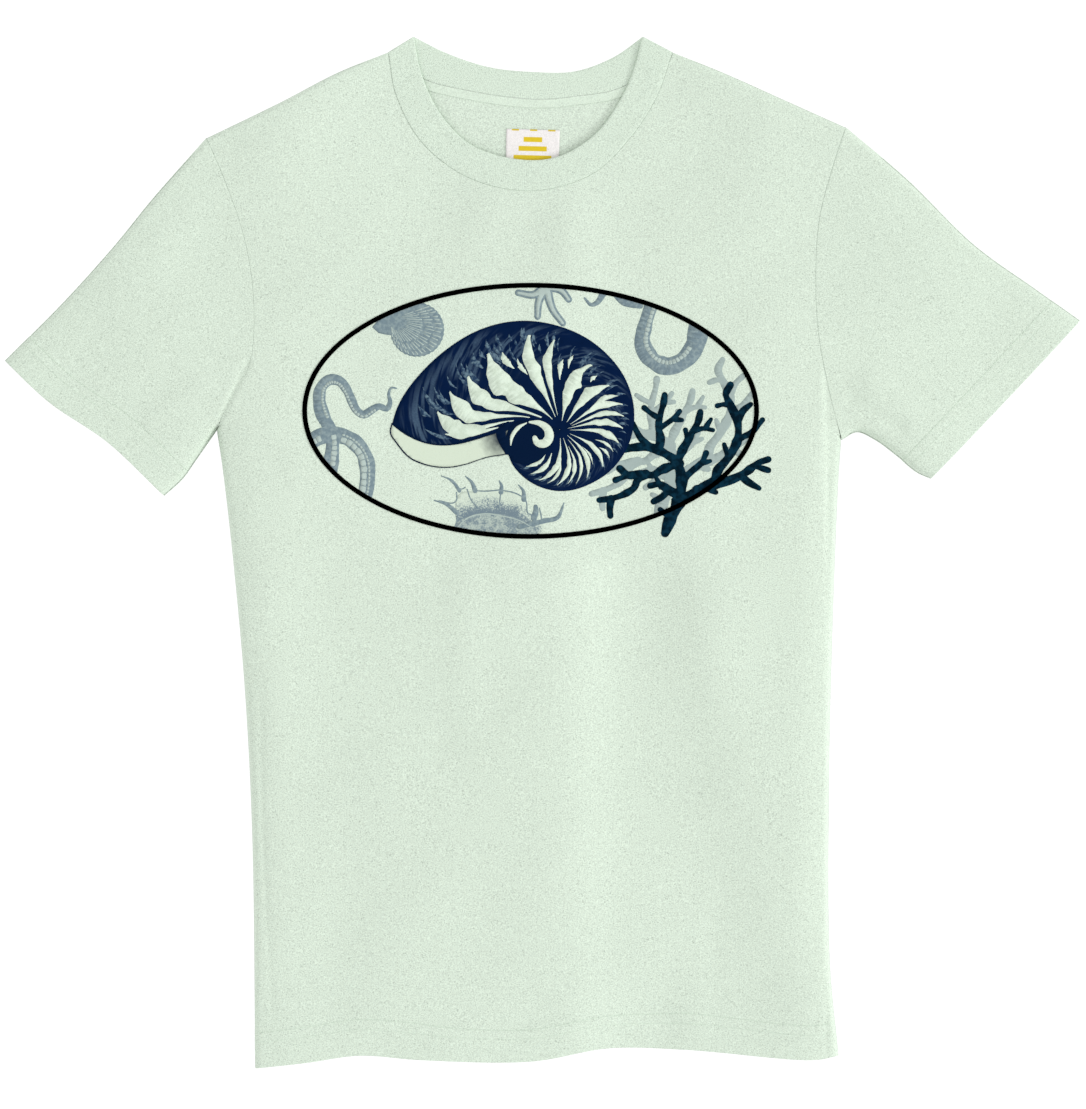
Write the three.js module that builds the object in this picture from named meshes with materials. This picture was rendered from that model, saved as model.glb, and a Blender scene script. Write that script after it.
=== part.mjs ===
// A crew-neck t-shirt lying flat on its back, in millimetres.
// +X is the wearer's left, +Y points to the collar and +Z up; z = 0 is the surface it lies on.
// Every panel is a thin sheet. Its plan comes from the seam lines below, and its height from
// how far a point is from the nearest sewn or folded edge, where the front rolls over to the back.
import * as THREE from 'three';

// ---- Driving dimensions ----
const JERSEY = 0.8; // thickness of the body fabric
const RIB = 1.8; // thickness of the folded neck rib
const TRIM = 0.6; // thickness of the neck tape and of the label
const THREAD = 0.4; // thickness of a stitching band
const CLEARANCE = 0.3; // gap between neighbouring pieces
const SEAM_HEIGHT = 9; // height of the side, shoulder and underarm edges
const BODY_HEIGHT = 26; // top of the front over the belly and chest
const OPENING_HEIGHT = 15; // top of the front at the hem, cuffs and collar
const COLLAR_FALL = [130, 275]; // over these heights up the chest the front sinks towards the collar
const FRONT_ROLL = 22; // distance over which the front rises from an edge
const BACK_ROLL = 14; // distance over which the back falls to the ground
const EDGE_MARGIN = 0.6; // points this near an edge count as on it
const ARMPIT_EASE = 0.4; // extra room on each side of the armhole seam where it meets the armpit
const HEM_LIFT = 1.2; // room under the back of the hem and cuffs for their stitching
const STITCH_LINES = [24, 17.5]; // the two needle lines' distances from a cuff edge
const LABEL_SIZE = [38, 36];
const LABEL_CENTRE = [-7, 278.5];
const TAPE_REACH = [2, 10]; // first and last neck step that the tape covers

// ---- Seam lines in plan: [x, y] points joined by a smooth curve ----
const HEM = [[-201, -361], [-165, -357], [-128, -352], [-85, -355], [-8, -356], [45, -347], [100, -348],
  [190, -355], [207, -352]];
const NECK_FRONT = [[-108, 350], [-102.5, 320], [-84, 286.5], [-50, 261.5], [-7, 253], [35, 265],
  [62, 291], [80, 319], [91, 350]];
const NECK_BACK = [[-108, 350], [-84, 332], [-60, 325], [-7, 317.5], [23, 319.5], [56, 326], [91, 350]];
const COLLAR_FRONT = [[-90, 361], [-85, 336], [-72, 308], [-50, 285.5], [-15, 275], [12, 277.5],
  [38, 294], [56, 320], [64, 339], [70, 361]];
const COLLAR_BACK = [[-90, 361], [-68, 350], [-38, 340], [-7, 336.5], [23, 337], [50, 347], [70, 361]];
const LEFT_LINES = {
  side: [[207, -352], [201, -285], [200.5, -160], [203, -50], [207, 50], [209, 79]],
  armhole: [[209, 79], [202, 105], [193, 150], [190.8, 187], [193.5, 233], [203, 270], [212, 297.5]],
  shoulder: [[212, 297.5], [173, 315], [126, 336], [91, 350]],
  collarFold: [[91, 350], [70, 361]],
  sleeveTop: [[212, 297.5], [255, 261], [302, 215], [345, 184], [376, 162]],
  underarm: [[209, 79], [220, 84.5], [233, 79], [248, 68], [262, 56.5], [272, 52]],
  cuff: [[272, 52], [298, 79], [338, 121], [376, 162]],
};
const RIGHT_LINES = {
  side: [[-201, -361], [-203, -201], [-208, -100], [-216, -10], [-224, 60], [-228, 86]],
  armhole: [[-228, 86], [-219, 105], [-205, 130], [-201.5, 170], [-208, 218], [-222, 259.5], [-235, 290]],
  shoulder: [[-235, 290], [-183.5, 315], [-143, 336], [-108, 350]],
  collarFold: [[-108, 350], [-90, 361]],
  sleeveTop: [[-235, 290], [-273, 247], [-299, 215], [-335, 175], [-376, 134]],
  underarm: [[-228, 86], [-242, 66], [-252, 52], [-265, 40]],
  cuff: [[-265, 40], [-304, 77], [-345, 105], [-376, 134]],
};

// ---- Steps along each line, close together where the fabric rolls over an edge ----
const ARMPIT = 0.67; // share of a side's length that is side seam, below the armhole
const SHOULDER_END = 0.284; // share of a panel's width that is the right shoulder
const NECK_END = 0.729; // and where the neck ends and the left shoulder starts
const HEM_ROWS = [0.04, 0.055]; // the hem's two needle lines, as shares of the side seam
const SIDE_STEPS = [0, ...HEM_ROWS, 0.15, 0.32, 0.5, 0.68, 0.86];
const ARMHOLE_STEPS = [0, 0.01, 0.035, 0.08, 0.2, 0.4, 0.6, 0.8, 0.92, 0.965, 0.99, 1];
const SHOULDER_STEPS = [0, 0.014, 0.056, 0.127, 0.21, 0.45, 0.72];
const NECK_STEPS = [0, 0.03, 0.08, 0.15, 0.25, 0.37, 0.5, 0.63, 0.75, 0.85, 0.92, 0.97, 1];
const SLEEVE_STEPS = [0, 0.12, 0.35, 0.62, 1]; // from the armhole to the cuff's stitching
const RIB_STEPS = [0, 0.5, 1];
const EDGE_SAMPLES = 32;

function smoothLine(points) {
  const corners = points.map(([x, y]) => new THREE.Vector3(x, y, 0));
  return new THREE.CatmullRomCurve3(corners, false, 'centripetal');
}

function makeSide(lines, hand) {
  const side = { hand };
  for (const [name, points] of Object.entries(lines)) {
    side[name] = smoothLine(points);
  }
  return side;
}

const left = makeSide(LEFT_LINES, 1);
const right = makeSide(RIGHT_LINES, -1);
const hem = smoothLine(HEM);
const neck = { front: smoothLine(NECK_FRONT), back: smoothLine(NECK_BACK) };
const collar = { front: smoothLine(COLLAR_FRONT), back: smoothLine(COLLAR_BACK) };

// The point at a share of a line, moved to the right of the line's direction by a distance.
function beside(line, share, distance) {
  const along = line.getTangentAt(share);
  return line.getPointAt(share).add(new THREE.Vector3(along.y, -along.x, 0).multiplyScalar(distance));
}

function smoothStep(from, to, value) {
  return THREE.MathUtils.smoothstep(value, from, to);
}

// The armhole seam's edge on the sleeve (1) or on the body (-1), held back further at the armpit.
function armholeEdge(side, share, sleeveOrBody) {
  const ease = ARMPIT_EASE * (1 - smoothStep(0, ARMHOLE_STEPS[3], share));
  return beside(side.armhole, share, side.hand * sleeveOrBody * (CLEARANCE / 2 + ease));
}

// ---- Sewn and folded edges, cut into short straight pieces that know which way is outwards ----
function edgePieces(line, outwardHand) {
  const pieces = [];
  for (let i = 0; i < EDGE_SAMPLES; i += 1) {
    const start = line.getPointAt(i / EDGE_SAMPLES);
    const end = line.getPointAt((i + 1) / EDGE_SAMPLES);
    const along = end.clone().sub(start);
    const outward = new THREE.Vector3(along.y, -along.x, 0).normalize().multiplyScalar(outwardHand);
    pieces.push({ start, end, outward });
  }
  return pieces;
}

const foldedEdges = [left, right].flatMap((side) => [
  ...edgePieces(side.side, side.hand),
  ...edgePieces(side.underarm, side.hand),
  ...edgePieces(side.sleeveTop, -side.hand),
  ...edgePieces(side.shoulder, side.hand),
  ...edgePieces(side.collarFold, side.hand),
]);

// How far a point is from the nearest folded edge, and which way that edge lies.
function nearestEdge(point) {
  let best = { distance: Infinity, outward: null };
  const segment = new THREE.Line3();
  const closest = new THREE.Vector3();
  for (const piece of foldedEdges) {
    segment.set(piece.start, piece.end);
    segment.closestPointToPoint(point, true, closest);
    const distance = closest.distanceTo(point);
    if (distance < best.distance) {
      const away = closest.clone().sub(point).normalize();
      best = { distance, outward: distance > EDGE_MARGIN ? away : piece.outward };
    }
  }
  return { distance: Math.max(0, best.distance - EDGE_MARGIN), outward: best.outward };
}

// How high the top of the shirt stands where it is away from every edge.
function fullness(point) {
  const acrossSleeve = 1 - smoothStep(180, 370, Math.abs(point.x));
  const aboveHem = smoothStep(-361, -180, point.y);
  const belowCollar = 1 - smoothStep(COLLAR_FALL[0], COLLAR_FALL[1], point.y);
  return OPENING_HEIGHT + (BODY_HEIGHT - OPENING_HEIGHT) * acrossSleeve * aboveHem * belowCollar;
}

// A point of the middle surface: it leaves an edge upright and levels out after a quarter ellipse.
function rolledPoint(plan, roll, rise, seamGap, upOrDown) {
  const edge = nearestEdge(plan);
  const toEdge = 1 - Math.min(edge.distance / roll, 1);
  const level = Math.sqrt(1 - toEdge * toEdge);
  const point = plan.clone().setZ(SEAM_HEIGHT + upOrDown * (seamGap + (rise - seamGap) * level));
  const normal = edge.outward.clone().multiplyScalar(toEdge / roll);
  normal.z = (upOrDown * level) / rise;
  return { point, normal: normal.normalize() };
}

function frontPoint(plan, seamGap = CLEARANCE / 2) {
  return rolledPoint(plan, FRONT_ROLL, fullness(plan) - JERSEY / 2 - SEAM_HEIGHT, seamGap, 1);
}

function backPoint(plan, lift = 0, thickness = JERSEY) {
  return rolledPoint(plan, BACK_ROLL, SEAM_HEIGHT - thickness / 2 - lift, CLEARANCE / 2, -1);
}

// ---- Solid sheets from a grid of middle points ----
// grid[row][column] holds points with normals; the solid fills from one offset to the other.
function sheetGeometry(grid, inner, outer, ringed) {
  const rows = grid.length;
  const columns = grid[0].length;
  const positions = [];
  for (const offset of [inner, outer]) {
    for (const { point, normal } of grid.flat()) {
      positions.push(...point.clone().addScaledVector(normal, offset).toArray());
    }
  }
  const corner = (layer, row, column) => (layer * rows + row) * columns + (column % columns);
  const triangles = [];
  const quad = (a, b, c, d) => triangles.push(a, b, c, a, c, d);
  const lastColumn = ringed ? columns : columns - 1;
  for (let row = 0; row < rows - 1; row += 1) {
    for (let column = 0; column < lastColumn; column += 1) {
      const below = (layer) => [corner(layer, row, column), corner(layer, row, column + 1)];
      const above = (layer) => [corner(layer, row + 1, column + 1), corner(layer, row + 1, column)];
      quad(...below(1), ...above(1));
      quad(...[...below(0), ...above(0)].reverse());
    }
  }
  for (let column = 0; column < lastColumn; column += 1) {
    const last = rows - 1;
    quad(corner(0, 0, column), corner(0, 0, column + 1), corner(1, 0, column + 1), corner(1, 0, column));
    quad(corner(1, last, column), corner(1, last, column + 1), corner(0, last, column + 1),
      corner(0, last, column));
  }
  for (let row = 0; row < rows - 1 && !ringed; row += 1) {
    const last = columns - 1;
    quad(corner(0, row, 0), corner(1, row, 0), corner(1, row + 1, 0), corner(0, row + 1, 0));
    quad(corner(1, row, last), corner(0, row, last), corner(0, row + 1, last), corner(1, row + 1, last));
  }
  return facingOut(positions, triangles);
}

function facingOut(positions, triangles) {
  const vertex = (index) => new THREE.Vector3().fromArray(positions, index * 3);
  let volume = 0;
  for (let i = 0; i < triangles.length; i += 3) {
    const [a, b, c] = [0, 1, 2].map((k) => vertex(triangles[i + k]));
    volume += a.dot(b.cross(c));
  }
  const geometry = new THREE.BufferGeometry();
  geometry.setAttribute('position', new THREE.Float32BufferAttribute(positions, 3));
  geometry.setIndex(volume < 0 ? triangles.reverse() : triangles);
  geometry.computeVertexNormals();
  return geometry;
}

// A point between a low and a high line, moved by how far each side line bends from straight.
// Each side is { point, low, high, weight }: its point at this height, its two ends and its pull.
function blended(lowPoint, highPoint, up, sides) {
  const point = lowPoint.clone().lerp(highPoint, up);
  for (const side of sides) {
    const straight = side.low.clone().lerp(side.high, up);
    point.addScaledVector(side.point.clone().sub(straight), side.weight);
  }
  return point;
}

// ---- Body panels ----
function bodySidePoint(side, up) {
  if (up < ARMPIT) {
    return side.side.getPointAt(up / ARMPIT);
  }
  return armholeEdge(side, (up - ARMPIT) / (1 - ARMPIT), -1);
}

function bodyTopPoint(face, across) {
  if (across < SHOULDER_END) {
    return right.shoulder.getPointAt(across / SHOULDER_END);
  }
  if (across > NECK_END) {
    return left.shoulder.getPointAt((1 - across) / (1 - NECK_END));
  }
  return beside(neck[face], (across - SHOULDER_END) / (NECK_END - SHOULDER_END), CLEARANCE / 2);
}

// Under the neck the columns run straight down, so they reach the hem at the neck line's own x.
function hemPoint(face, across) {
  if (across < SHOULDER_END || across > NECK_END) {
    return hem.getPointAt(across);
  }
  const [start, end] = [SHOULDER_END, NECK_END].map((share) => bodyTopPoint(face, share).x);
  const { x } = bodyTopPoint(face, across);
  return hem.getPointAt(THREE.MathUtils.mapLinear(x, start, end, SHOULDER_END, NECK_END));
}

function bodyPlan(face, across, up) {
  const sideAt = (side, share, weight) => ({
    point: bodySidePoint(side, up),
    low: hem.getPointAt(share),
    high: bodyTopPoint(face, share),
    weight: Math.max(0, weight),
  });
  return blended(hemPoint(face, across), bodyTopPoint(face, across), up, [
    sideAt(right, 0, 1 - across / SHOULDER_END),
    sideAt(left, 1, 1 - (1 - across) / (1 - NECK_END)),
  ]);
}

function bodyColumns() {
  const neckWidth = NECK_END - SHOULDER_END;
  return [
    ...SHOULDER_STEPS.map((step) => step * SHOULDER_END),
    ...NECK_STEPS.map((step) => SHOULDER_END + step * neckWidth),
    ...SHOULDER_STEPS.map((step) => 1 - step * (1 - NECK_END)).reverse(),
  ];
}

function bodyRows() {
  return [
    ...SIDE_STEPS.map((step) => step * ARMPIT),
    ...ARMHOLE_STEPS.map((step) => ARMPIT + step * (1 - ARMPIT)),
  ];
}

function bodyPoint(face, across, up) {
  const plan = bodyPlan(face, across, up);
  const lift = HEM_LIFT * (1 - smoothStep(HEM_ROWS[1] * ARMPIT, SIDE_STEPS[3] * ARMPIT, up));
  return face === 'front' ? frontPoint(plan) : backPoint(plan, lift);
}

function bodyPanel(face) {
  const grid = bodyRows().map((up) => bodyColumns().map((across) => bodyPoint(face, across, up)));
  return sheetGeometry(grid, -JERSEY / 2, JERSEY / 2, false);
}

// ---- Sleeves ----
function sleevePlan(side, around, stitchShare, fromCuff) {
  const cuffBand = STITCH_LINES[0];
  const shareOf = (line) => {
    const length = line.getLength();
    const bandStart = (length - cuffBand) / length;
    return fromCuff === null ? stitchShare * bandStart : 1 - fromCuff / length;
  };
  const topShare = shareOf(side.sleeveTop);
  const towardsCuff = 1 - (1 - topShare) ** 2;
  const edgeAt = (line, end, weight) => ({
    point: line.getPointAt(shareOf(line)),
    low: armholeEdge(side, end, 1),
    high: side.cuff.getPointAt(end),
    weight,
  });
  if (topShare === 0) {
    return armholeEdge(side, around, 1);
  }
  return blended(armholeEdge(side, around, 1), side.cuff.getPointAt(around), towardsCuff, [
    edgeAt(side.underarm, 0, 1 - around),
    edgeAt(side.sleeveTop, 1, around),
  ]);
}

// One turn round the sleeve: up its front from the underarm, over the top and down its back.
function sleeveRing(side, stitchShare, fromCuff = null) {
  const lift = HEM_LIFT * smoothStep(SLEEVE_STEPS[3], 1, stitchShare);
  const plan = (around) => sleevePlan(side, around, stitchShare, fromCuff);
  const between = ARMHOLE_STEPS.slice(1, -1);
  return [
    frontPoint(plan(0), 0),
    ...between.map((around) => frontPoint(plan(around))),
    frontPoint(plan(1), 0),
    ...between.reverse().map((around) => backPoint(plan(around), lift)),
  ];
}

function sleeve(side) {
  const grid = [
    ...SLEEVE_STEPS.map((share) => sleeveRing(side, share)),
    sleeveRing(side, 1, STITCH_LINES[1]),
    sleeveRing(side, 1, 0),
  ];
  return sheetGeometry(grid, -JERSEY / 2, JERSEY / 2, true);
}

// ---- Collar, trim and stitching ----
function ribPlan(face, along, outward) {
  const seam = beside(neck[face], along, -CLEARANCE / 2);
  return seam.lerp(collar[face].getPointAt(along), outward);
}

function neckRib() {
  const grid = RIB_STEPS.map((outward) => [
    ...NECK_STEPS.map((along) => frontPoint(ribPlan('front', along, outward))),
    ...[...NECK_STEPS].reverse().map((along) => backPoint(ribPlan('back', along, outward), 0, RIB)),
  ]);
  return sheetGeometry(grid, -RIB / 2, RIB / 2, true);
}

// The tape lies inside the back, along the neck seam.
function neckTape() {
  const steps = NECK_STEPS.slice(TAPE_REACH[0], TAPE_REACH[1] + 1);
  const columns = steps.map((step) => SHOULDER_END + step * (NECK_END - SHOULDER_END));
  const rows = ARMHOLE_STEPS.slice(-3, -1).map((step) => ARMPIT + step * (1 - ARMPIT));
  const grid = rows.map((up) => columns.map((across) => bodyPoint('back', across, up)));
  const inside = -(JERSEY / 2 + CLEARANCE);
  return sheetGeometry(grid, inside - TRIM, inside, false);
}

function neckLabel() {
  const geometry = new THREE.BoxGeometry(LABEL_SIZE[0], LABEL_SIZE[1], TRIM);
  return geometry.translate(LABEL_CENTRE[0], LABEL_CENTRE[1], JERSEY + CLEARANCE + TRIM / 2);
}

function stitchingBand(grid) {
  const outside = JERSEY / 2 + CLEARANCE;
  return sheetGeometry(grid, outside, outside + THREAD, true);
}

function hemStitching() {
  const columns = bodyColumns();
  const grid = HEM_ROWS.map((row) => [
    ...columns.map((across) => bodyPoint('front', across, row * ARMPIT)),
    ...[...columns].reverse().map((across) => bodyPoint('back', across, row * ARMPIT)),
  ]);
  return stitchingBand(grid);
}

function cuffStitching(side) {
  return stitchingBand(STITCH_LINES.map((distance) => sleeveRing(side, 1, distance)));
}

// ---- Materials and the finished shirt ----
const cloth = (color) => new THREE.MeshStandardMaterial({ color, roughness: 0.95, metalness: 0 });
const jersey = cloth(0xdae9d9);
const ribbing = cloth(0xd8e7d7);
const tapeCloth = cloth(0xd6e6d5);
const labelCloth = cloth(0xf3e8e8);
const thread = cloth(0xd2e2d1);

function piece(name, geometry, material) {
  const mesh = new THREE.Mesh(geometry, material);
  mesh.name = name;
  return mesh;
}

const shirt = new THREE.Group();
shirt.add(
  piece('front_panel', bodyPanel('front'), jersey),
  piece('back_panel', bodyPanel('back'), jersey),
  piece('sleeve_left', sleeve(left), jersey),
  piece('sleeve_right', sleeve(right), jersey),
  piece('neck_rib', neckRib(), ribbing),
  piece('neck_tape', neckTape(), tapeCloth),
  piece('neck_label', neckLabel(), labelCloth),
  piece('hem_stitching', hemStitching(), thread),
  piece('cuff_left_stitching', cuffStitching(left), thread),
  piece('cuff_right_stitching', cuffStitching(right), thread),
);

export default shirt;
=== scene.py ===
"""A crew-neck t-shirt lying flat on its back, seen from straight above.

Distances are millimetres until a mesh is made. Places are in the frame's own axes: +X is the
wearer's left, +Y points to the collar and +Z up. The seam lines are the CAD model's own.
"""

import math

import bpy
import numpy as np
from mathutils.geometry import delaunay_2d_cdt
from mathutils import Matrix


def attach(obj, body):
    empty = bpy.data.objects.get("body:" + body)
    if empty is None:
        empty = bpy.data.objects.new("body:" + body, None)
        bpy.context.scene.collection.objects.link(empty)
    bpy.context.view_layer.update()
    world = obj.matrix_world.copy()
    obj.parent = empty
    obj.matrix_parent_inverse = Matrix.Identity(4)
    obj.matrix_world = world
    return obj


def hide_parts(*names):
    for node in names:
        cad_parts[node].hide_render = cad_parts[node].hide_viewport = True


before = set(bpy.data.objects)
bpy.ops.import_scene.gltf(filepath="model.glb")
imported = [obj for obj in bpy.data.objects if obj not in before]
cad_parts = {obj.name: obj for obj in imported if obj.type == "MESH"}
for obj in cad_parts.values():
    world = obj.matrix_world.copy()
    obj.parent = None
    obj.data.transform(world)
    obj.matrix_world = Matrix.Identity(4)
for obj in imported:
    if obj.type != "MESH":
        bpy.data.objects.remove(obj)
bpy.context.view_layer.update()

MM = 0.001

# ---- Driving dimensions, as in the CAD model ----
JERSEY = 0.8
RIB = 1.8
SEAM_HEIGHT = 9
BODY_HEIGHT = 26
OPENING_HEIGHT = 15
COLLAR_FALL = (130, 275)
NECK_FALL = (190, 290)
NECK_DROP = 4.8  # the collar lies lower than the CAD model's, so the opening isn't a deep well
NECK_REST = 6.4  # and the cloth behind it rises to meet it
FRONT_ROLL = 3.8
SLOPE_REACH = 26  # beside the roll the cloth still rises gently, this far in
SLOPE_SHARE = 0.24  # and by this share of its height
BACK_ROLL = 11
EDGE_BAND = 10.5  # the width of the finer grid beside the folded edges
EDGE_MARGIN = 0.6
HEM_LIFT = 1.2
HEM_DEPTH = 24
STITCH_LINES = (24, 17.5)
HEM_ROWS = (0.055, 0.04)
HEM_DOUBLED = 0.3  # how much thicker the pressed, turned-up hems are
LABEL_SIZE = (38, 36)
LABEL_CENTRE = (-7, 278.5)
ARMPIT = 0.67
SHOULDER_END = 0.284
NECK_END = 0.729
SEAM_GAP = 0.1

# ---- Seam lines in plan ----
HEM = [(-201, -361), (-165, -357), (-128, -352), (-85, -355), (-8, -356), (45, -347), (100, -348),
       (190, -355), (207, -352)]
NECK_FRONT = [(-108, 350), (-102.5, 320), (-84, 286.5), (-50, 261.5), (-7, 253), (35, 265),
              (62, 291), (80, 319), (91, 350)]
NECK_BACK = [(-108, 350), (-84, 332), (-60, 325), (-7, 317.5), (23, 319.5), (56, 326), (91, 350)]
COLLAR_FRONT = [(-90, 361), (-85, 336), (-72, 308), (-50, 285.5), (-15, 275), (12, 277.5),
                (38, 294), (56, 320), (64, 339), (70, 361)]
COLLAR_BACK = [(-90, 361), (-68, 350), (-38, 340), (-7, 336.5), (23, 337), (50, 347), (70, 361)]
LEFT_LINES = {
    "side": [(207, -352), (201, -285), (200.5, -160), (203, -50), (207, 50), (209, 79)],
    "armhole": [(209, 79), (202, 105), (193, 150), (190.8, 187), (193.5, 233), (203, 270),
                (212, 297.5)],
    "shoulder": [(212, 297.5), (173, 315), (126, 336), (91, 350)],
    "collar_fold": [(91, 350), (70, 361)],
    "sleeve_top": [(212, 297.5), (255, 261), (302, 215), (345, 184), (376, 162)],
    "underarm": [(209, 79), (220, 84.5), (233, 79), (248, 68), (262, 56.5), (272, 52)],
    "cuff": [(272, 52), (298, 79), (338, 121), (376, 162)],
}
RIGHT_LINES = {
    "side": [(-201, -361), (-203, -201), (-208, -100), (-216, -10), (-224, 60), (-228, 86)],
    "armhole": [(-228, 86), (-219, 105), (-205, 130), (-201.5, 170), (-208, 218), (-222, 259.5),
                (-235, 290)],
    "shoulder": [(-235, 290), (-183.5, 315), (-143, 336), (-108, 350)],
    "collar_fold": [(-108, 350), (-90, 361)],
    "sleeve_top": [(-235, 290), (-273, 247), (-299, 215), (-335, 175), (-376, 134)],
    "underarm": [(-228, 86), (-242, 66), (-252, 52), (-265, 40)],
    "cuff": [(-265, 40), (-304, 77), (-345, 105), (-376, 134)],
}

# ---- How the cloth lies: from, to, half width and height of each soft ridge or hollow ----
# (from, to, half width, height) of each ridge or hollow
CREASES = [
    ((212, 107), (254, 86), 5, -1.5),
    ((222, 122), (262, 100), 8, 1.0),
    ((-232, 120), (-275, 92), 8, 1.0),
    ((-226, 92), (-205, 134), 2.4, -1.3),
    ((-240, 250), (-300, 150), 16, 0.8),
    ((235, 235), (300, 160), 16, 0.8),
    ((-196, 92), (-120, 20), 14, 1.0),
    ((176, 100), (110, 40), 16, 1.0),
]
# (from, to, half width, drop) of each line over which the cloth falls towards its +X side
FALLS = [
    ((31, 262), (36, -30), 20, 4.4),
    ((36, -10), (38, -352), 20, 8.6),
    ((99, 0), (112, -120), 20, -6.4),
    ((112, -120), (172, -340), 24, -5.4),
    ((112, -250), (116, -345), 6, 1.4),
    ((92, -318), (94, -350), 7, -1.6),
    ((-118, -130), (-134, -345), 18, -3.4),
    ((-168, 60), (-172, -140), 22, 3.0),
    ((-44, -5), (-46, -118), 10, 2.0),
    ((-65, -5), (-62, -140), 13, -2.0),
    ((-50, 262), (-56, 195), 13, -2.4),
    ((7, 252), (9, 190), 8, -2.0),
    ((150, 250), (140, 180), 18, 1.4),
]
FALL_REACH = 70  # how far from its line a fall dies out
UNEVEN = 0.16  # height of the small seeded waves
SIDE_FOLD = ((195.3, 128), (197.8, 23))  # the body's edge stands over a lower strip here
SIDE_FOLD_DROP = 2.2
# where the two side seams are rolled to the front
SEAMS_SHOWING = [[(-197, -100), (-195, -200), (-189, -325)],
                 [(199, 58), (199.4, -60), (199.4, -200), (198.4, -350)]]


def smooth_step(low, high, value):
    share = np.clip((value - low) / (high - low), 0, 1)
    return share * share * (3 - 2 * share)


class Line:
    """A smooth centripetal curve through points, found at any share of its length."""

    def __init__(self, points, samples=40):
        knots = np.array(points, float)
        knots = np.vstack([2 * knots[0] - knots[1], knots, 2 * knots[-1] - knots[-2]])
        share = np.linspace(0, 1, samples, endpoint=False)[:, None]
        spans = []
        for a, b, c, d in zip(knots, knots[1:], knots[2:], knots[3:]):
            before, step, after = (math.sqrt(np.linalg.norm(q - p)) for p, q in ((a, b), (b, c), (c, d)))
            start = step * ((b - a) / before - (c - a) / (before + step) + (c - b) / step)
            end = step * ((c - b) / step - (d - b) / (step + after) + (d - c) / after)
            spans.append(b + start * share + (3 * (c - b) - 2 * start - end) * share**2
                         + (2 * (b - c) + start + end) * share**3)
        self.points = np.vstack([*spans, knots[-2]])
        steps = np.linalg.norm(np.diff(self.points, axis=0), axis=1)
        self.lengths = np.concatenate([[0], np.cumsum(steps)])
        self.length = self.lengths[-1]

    def at(self, share):
        where = np.asarray(share, float) * self.length
        return np.stack([np.interp(where, self.lengths, self.points[:, k]) for k in (0, 1)], -1)

    def beside(self, share, distance):
        """The point at a share, moved to the right of the line's direction."""
        share = np.asarray(share, float)
        along = self.at(np.minimum(share + 0.004, 1)) - self.at(np.maximum(share - 0.004, 0))
        along /= np.linalg.norm(along, axis=-1, keepdims=True)
        across = np.stack([along[..., 1], -along[..., 0]], -1)
        return self.at(share) + across * np.asarray(distance, float)[..., None]

    def distance(self, plan, pieces=48):
        """How far each plan point is from the line."""
        corners = self.at(np.linspace(0, 1, pieces + 1))
        flat = plan.reshape(-1, 2)
        best = np.full(len(flat), np.inf)
        for start, end in zip(corners, corners[1:]):
            along = end - start
            share = np.clip((flat - start) @ along / (along @ along), 0, 1)
            gap = flat - start - share[:, None] * along
            best = np.minimum(best, np.hypot(gap[:, 0], gap[:, 1]))
        return best.reshape(plan.shape[:-1])


def side_of(lines, hand):
    side = {name: Line(points) for name, points in lines.items()}
    side["hand"] = hand
    return side


left = side_of(LEFT_LINES, 1)
right = side_of(RIGHT_LINES, -1)
hem = Line(HEM)
neck = {"front": Line(NECK_FRONT), "back": Line(NECK_BACK)}
collar = {"front": Line(COLLAR_FRONT), "back": Line(COLLAR_BACK)}
FOLDED = [side[name] for side in (left, right)
          for name in ("side", "underarm", "sleeve_top", "shoulder", "collar_fold")]
seams_showing = [Line(points) for points in SEAMS_SHOWING]
waves = np.random.default_rng(7).uniform(size=(26, 4))


# ---- Height of the cloth ----
def edge_distance(plan):
    nearest = np.min([line.distance(plan) for line in FOLDED], axis=0)
    return np.maximum(nearest - EDGE_MARGIN, 0)


def fullness(plan):
    x, y = plan[..., 0], plan[..., 1]
    share = 1 - 0.55 * smooth_step(180, 370, np.abs(x))
    share = share * smooth_step(-361, -180, y) * (1 - smooth_step(*COLLAR_FALL, y))
    near_neck = smooth_step(*NECK_FALL, y) * (1 - smooth_step(90, 170, np.abs(x + 8)))
    return OPENING_HEIGHT + (BODY_HEIGHT - OPENING_HEIGHT) * share - NECK_DROP * near_neck


def crease(plan, start, end, half_width, height):
    start, end = np.array(start, float), np.array(end, float)
    length = np.linalg.norm(end - start)
    along = (end - start) / length
    place = (plan - start) @ along
    aside = (plan - start) @ np.array([along[1], -along[0]])
    ends = smooth_step(-half_width, half_width, place)
    ends = ends * (1 - smooth_step(length - half_width, length + half_width, place))
    return height * ends * np.exp(-((aside / half_width) ** 2))


def fall(plan, start, end, half_width, drop):
    """The cloth steps down softly across a line, towards its +X side."""
    start, end = np.array(start, float), np.array(end, float)
    length = np.linalg.norm(end - start)
    along = (end - start) / length
    place = (plan - start) @ along
    aside = (plan - start) @ np.array([-along[1], along[0]])
    ends = smooth_step(-20, 20, place) * (1 - smooth_step(length - 20, length + 20, place))
    return -drop / 2 * ends * np.tanh(aside / half_width) * np.exp(-((aside / FALL_REACH) ** 2))


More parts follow.
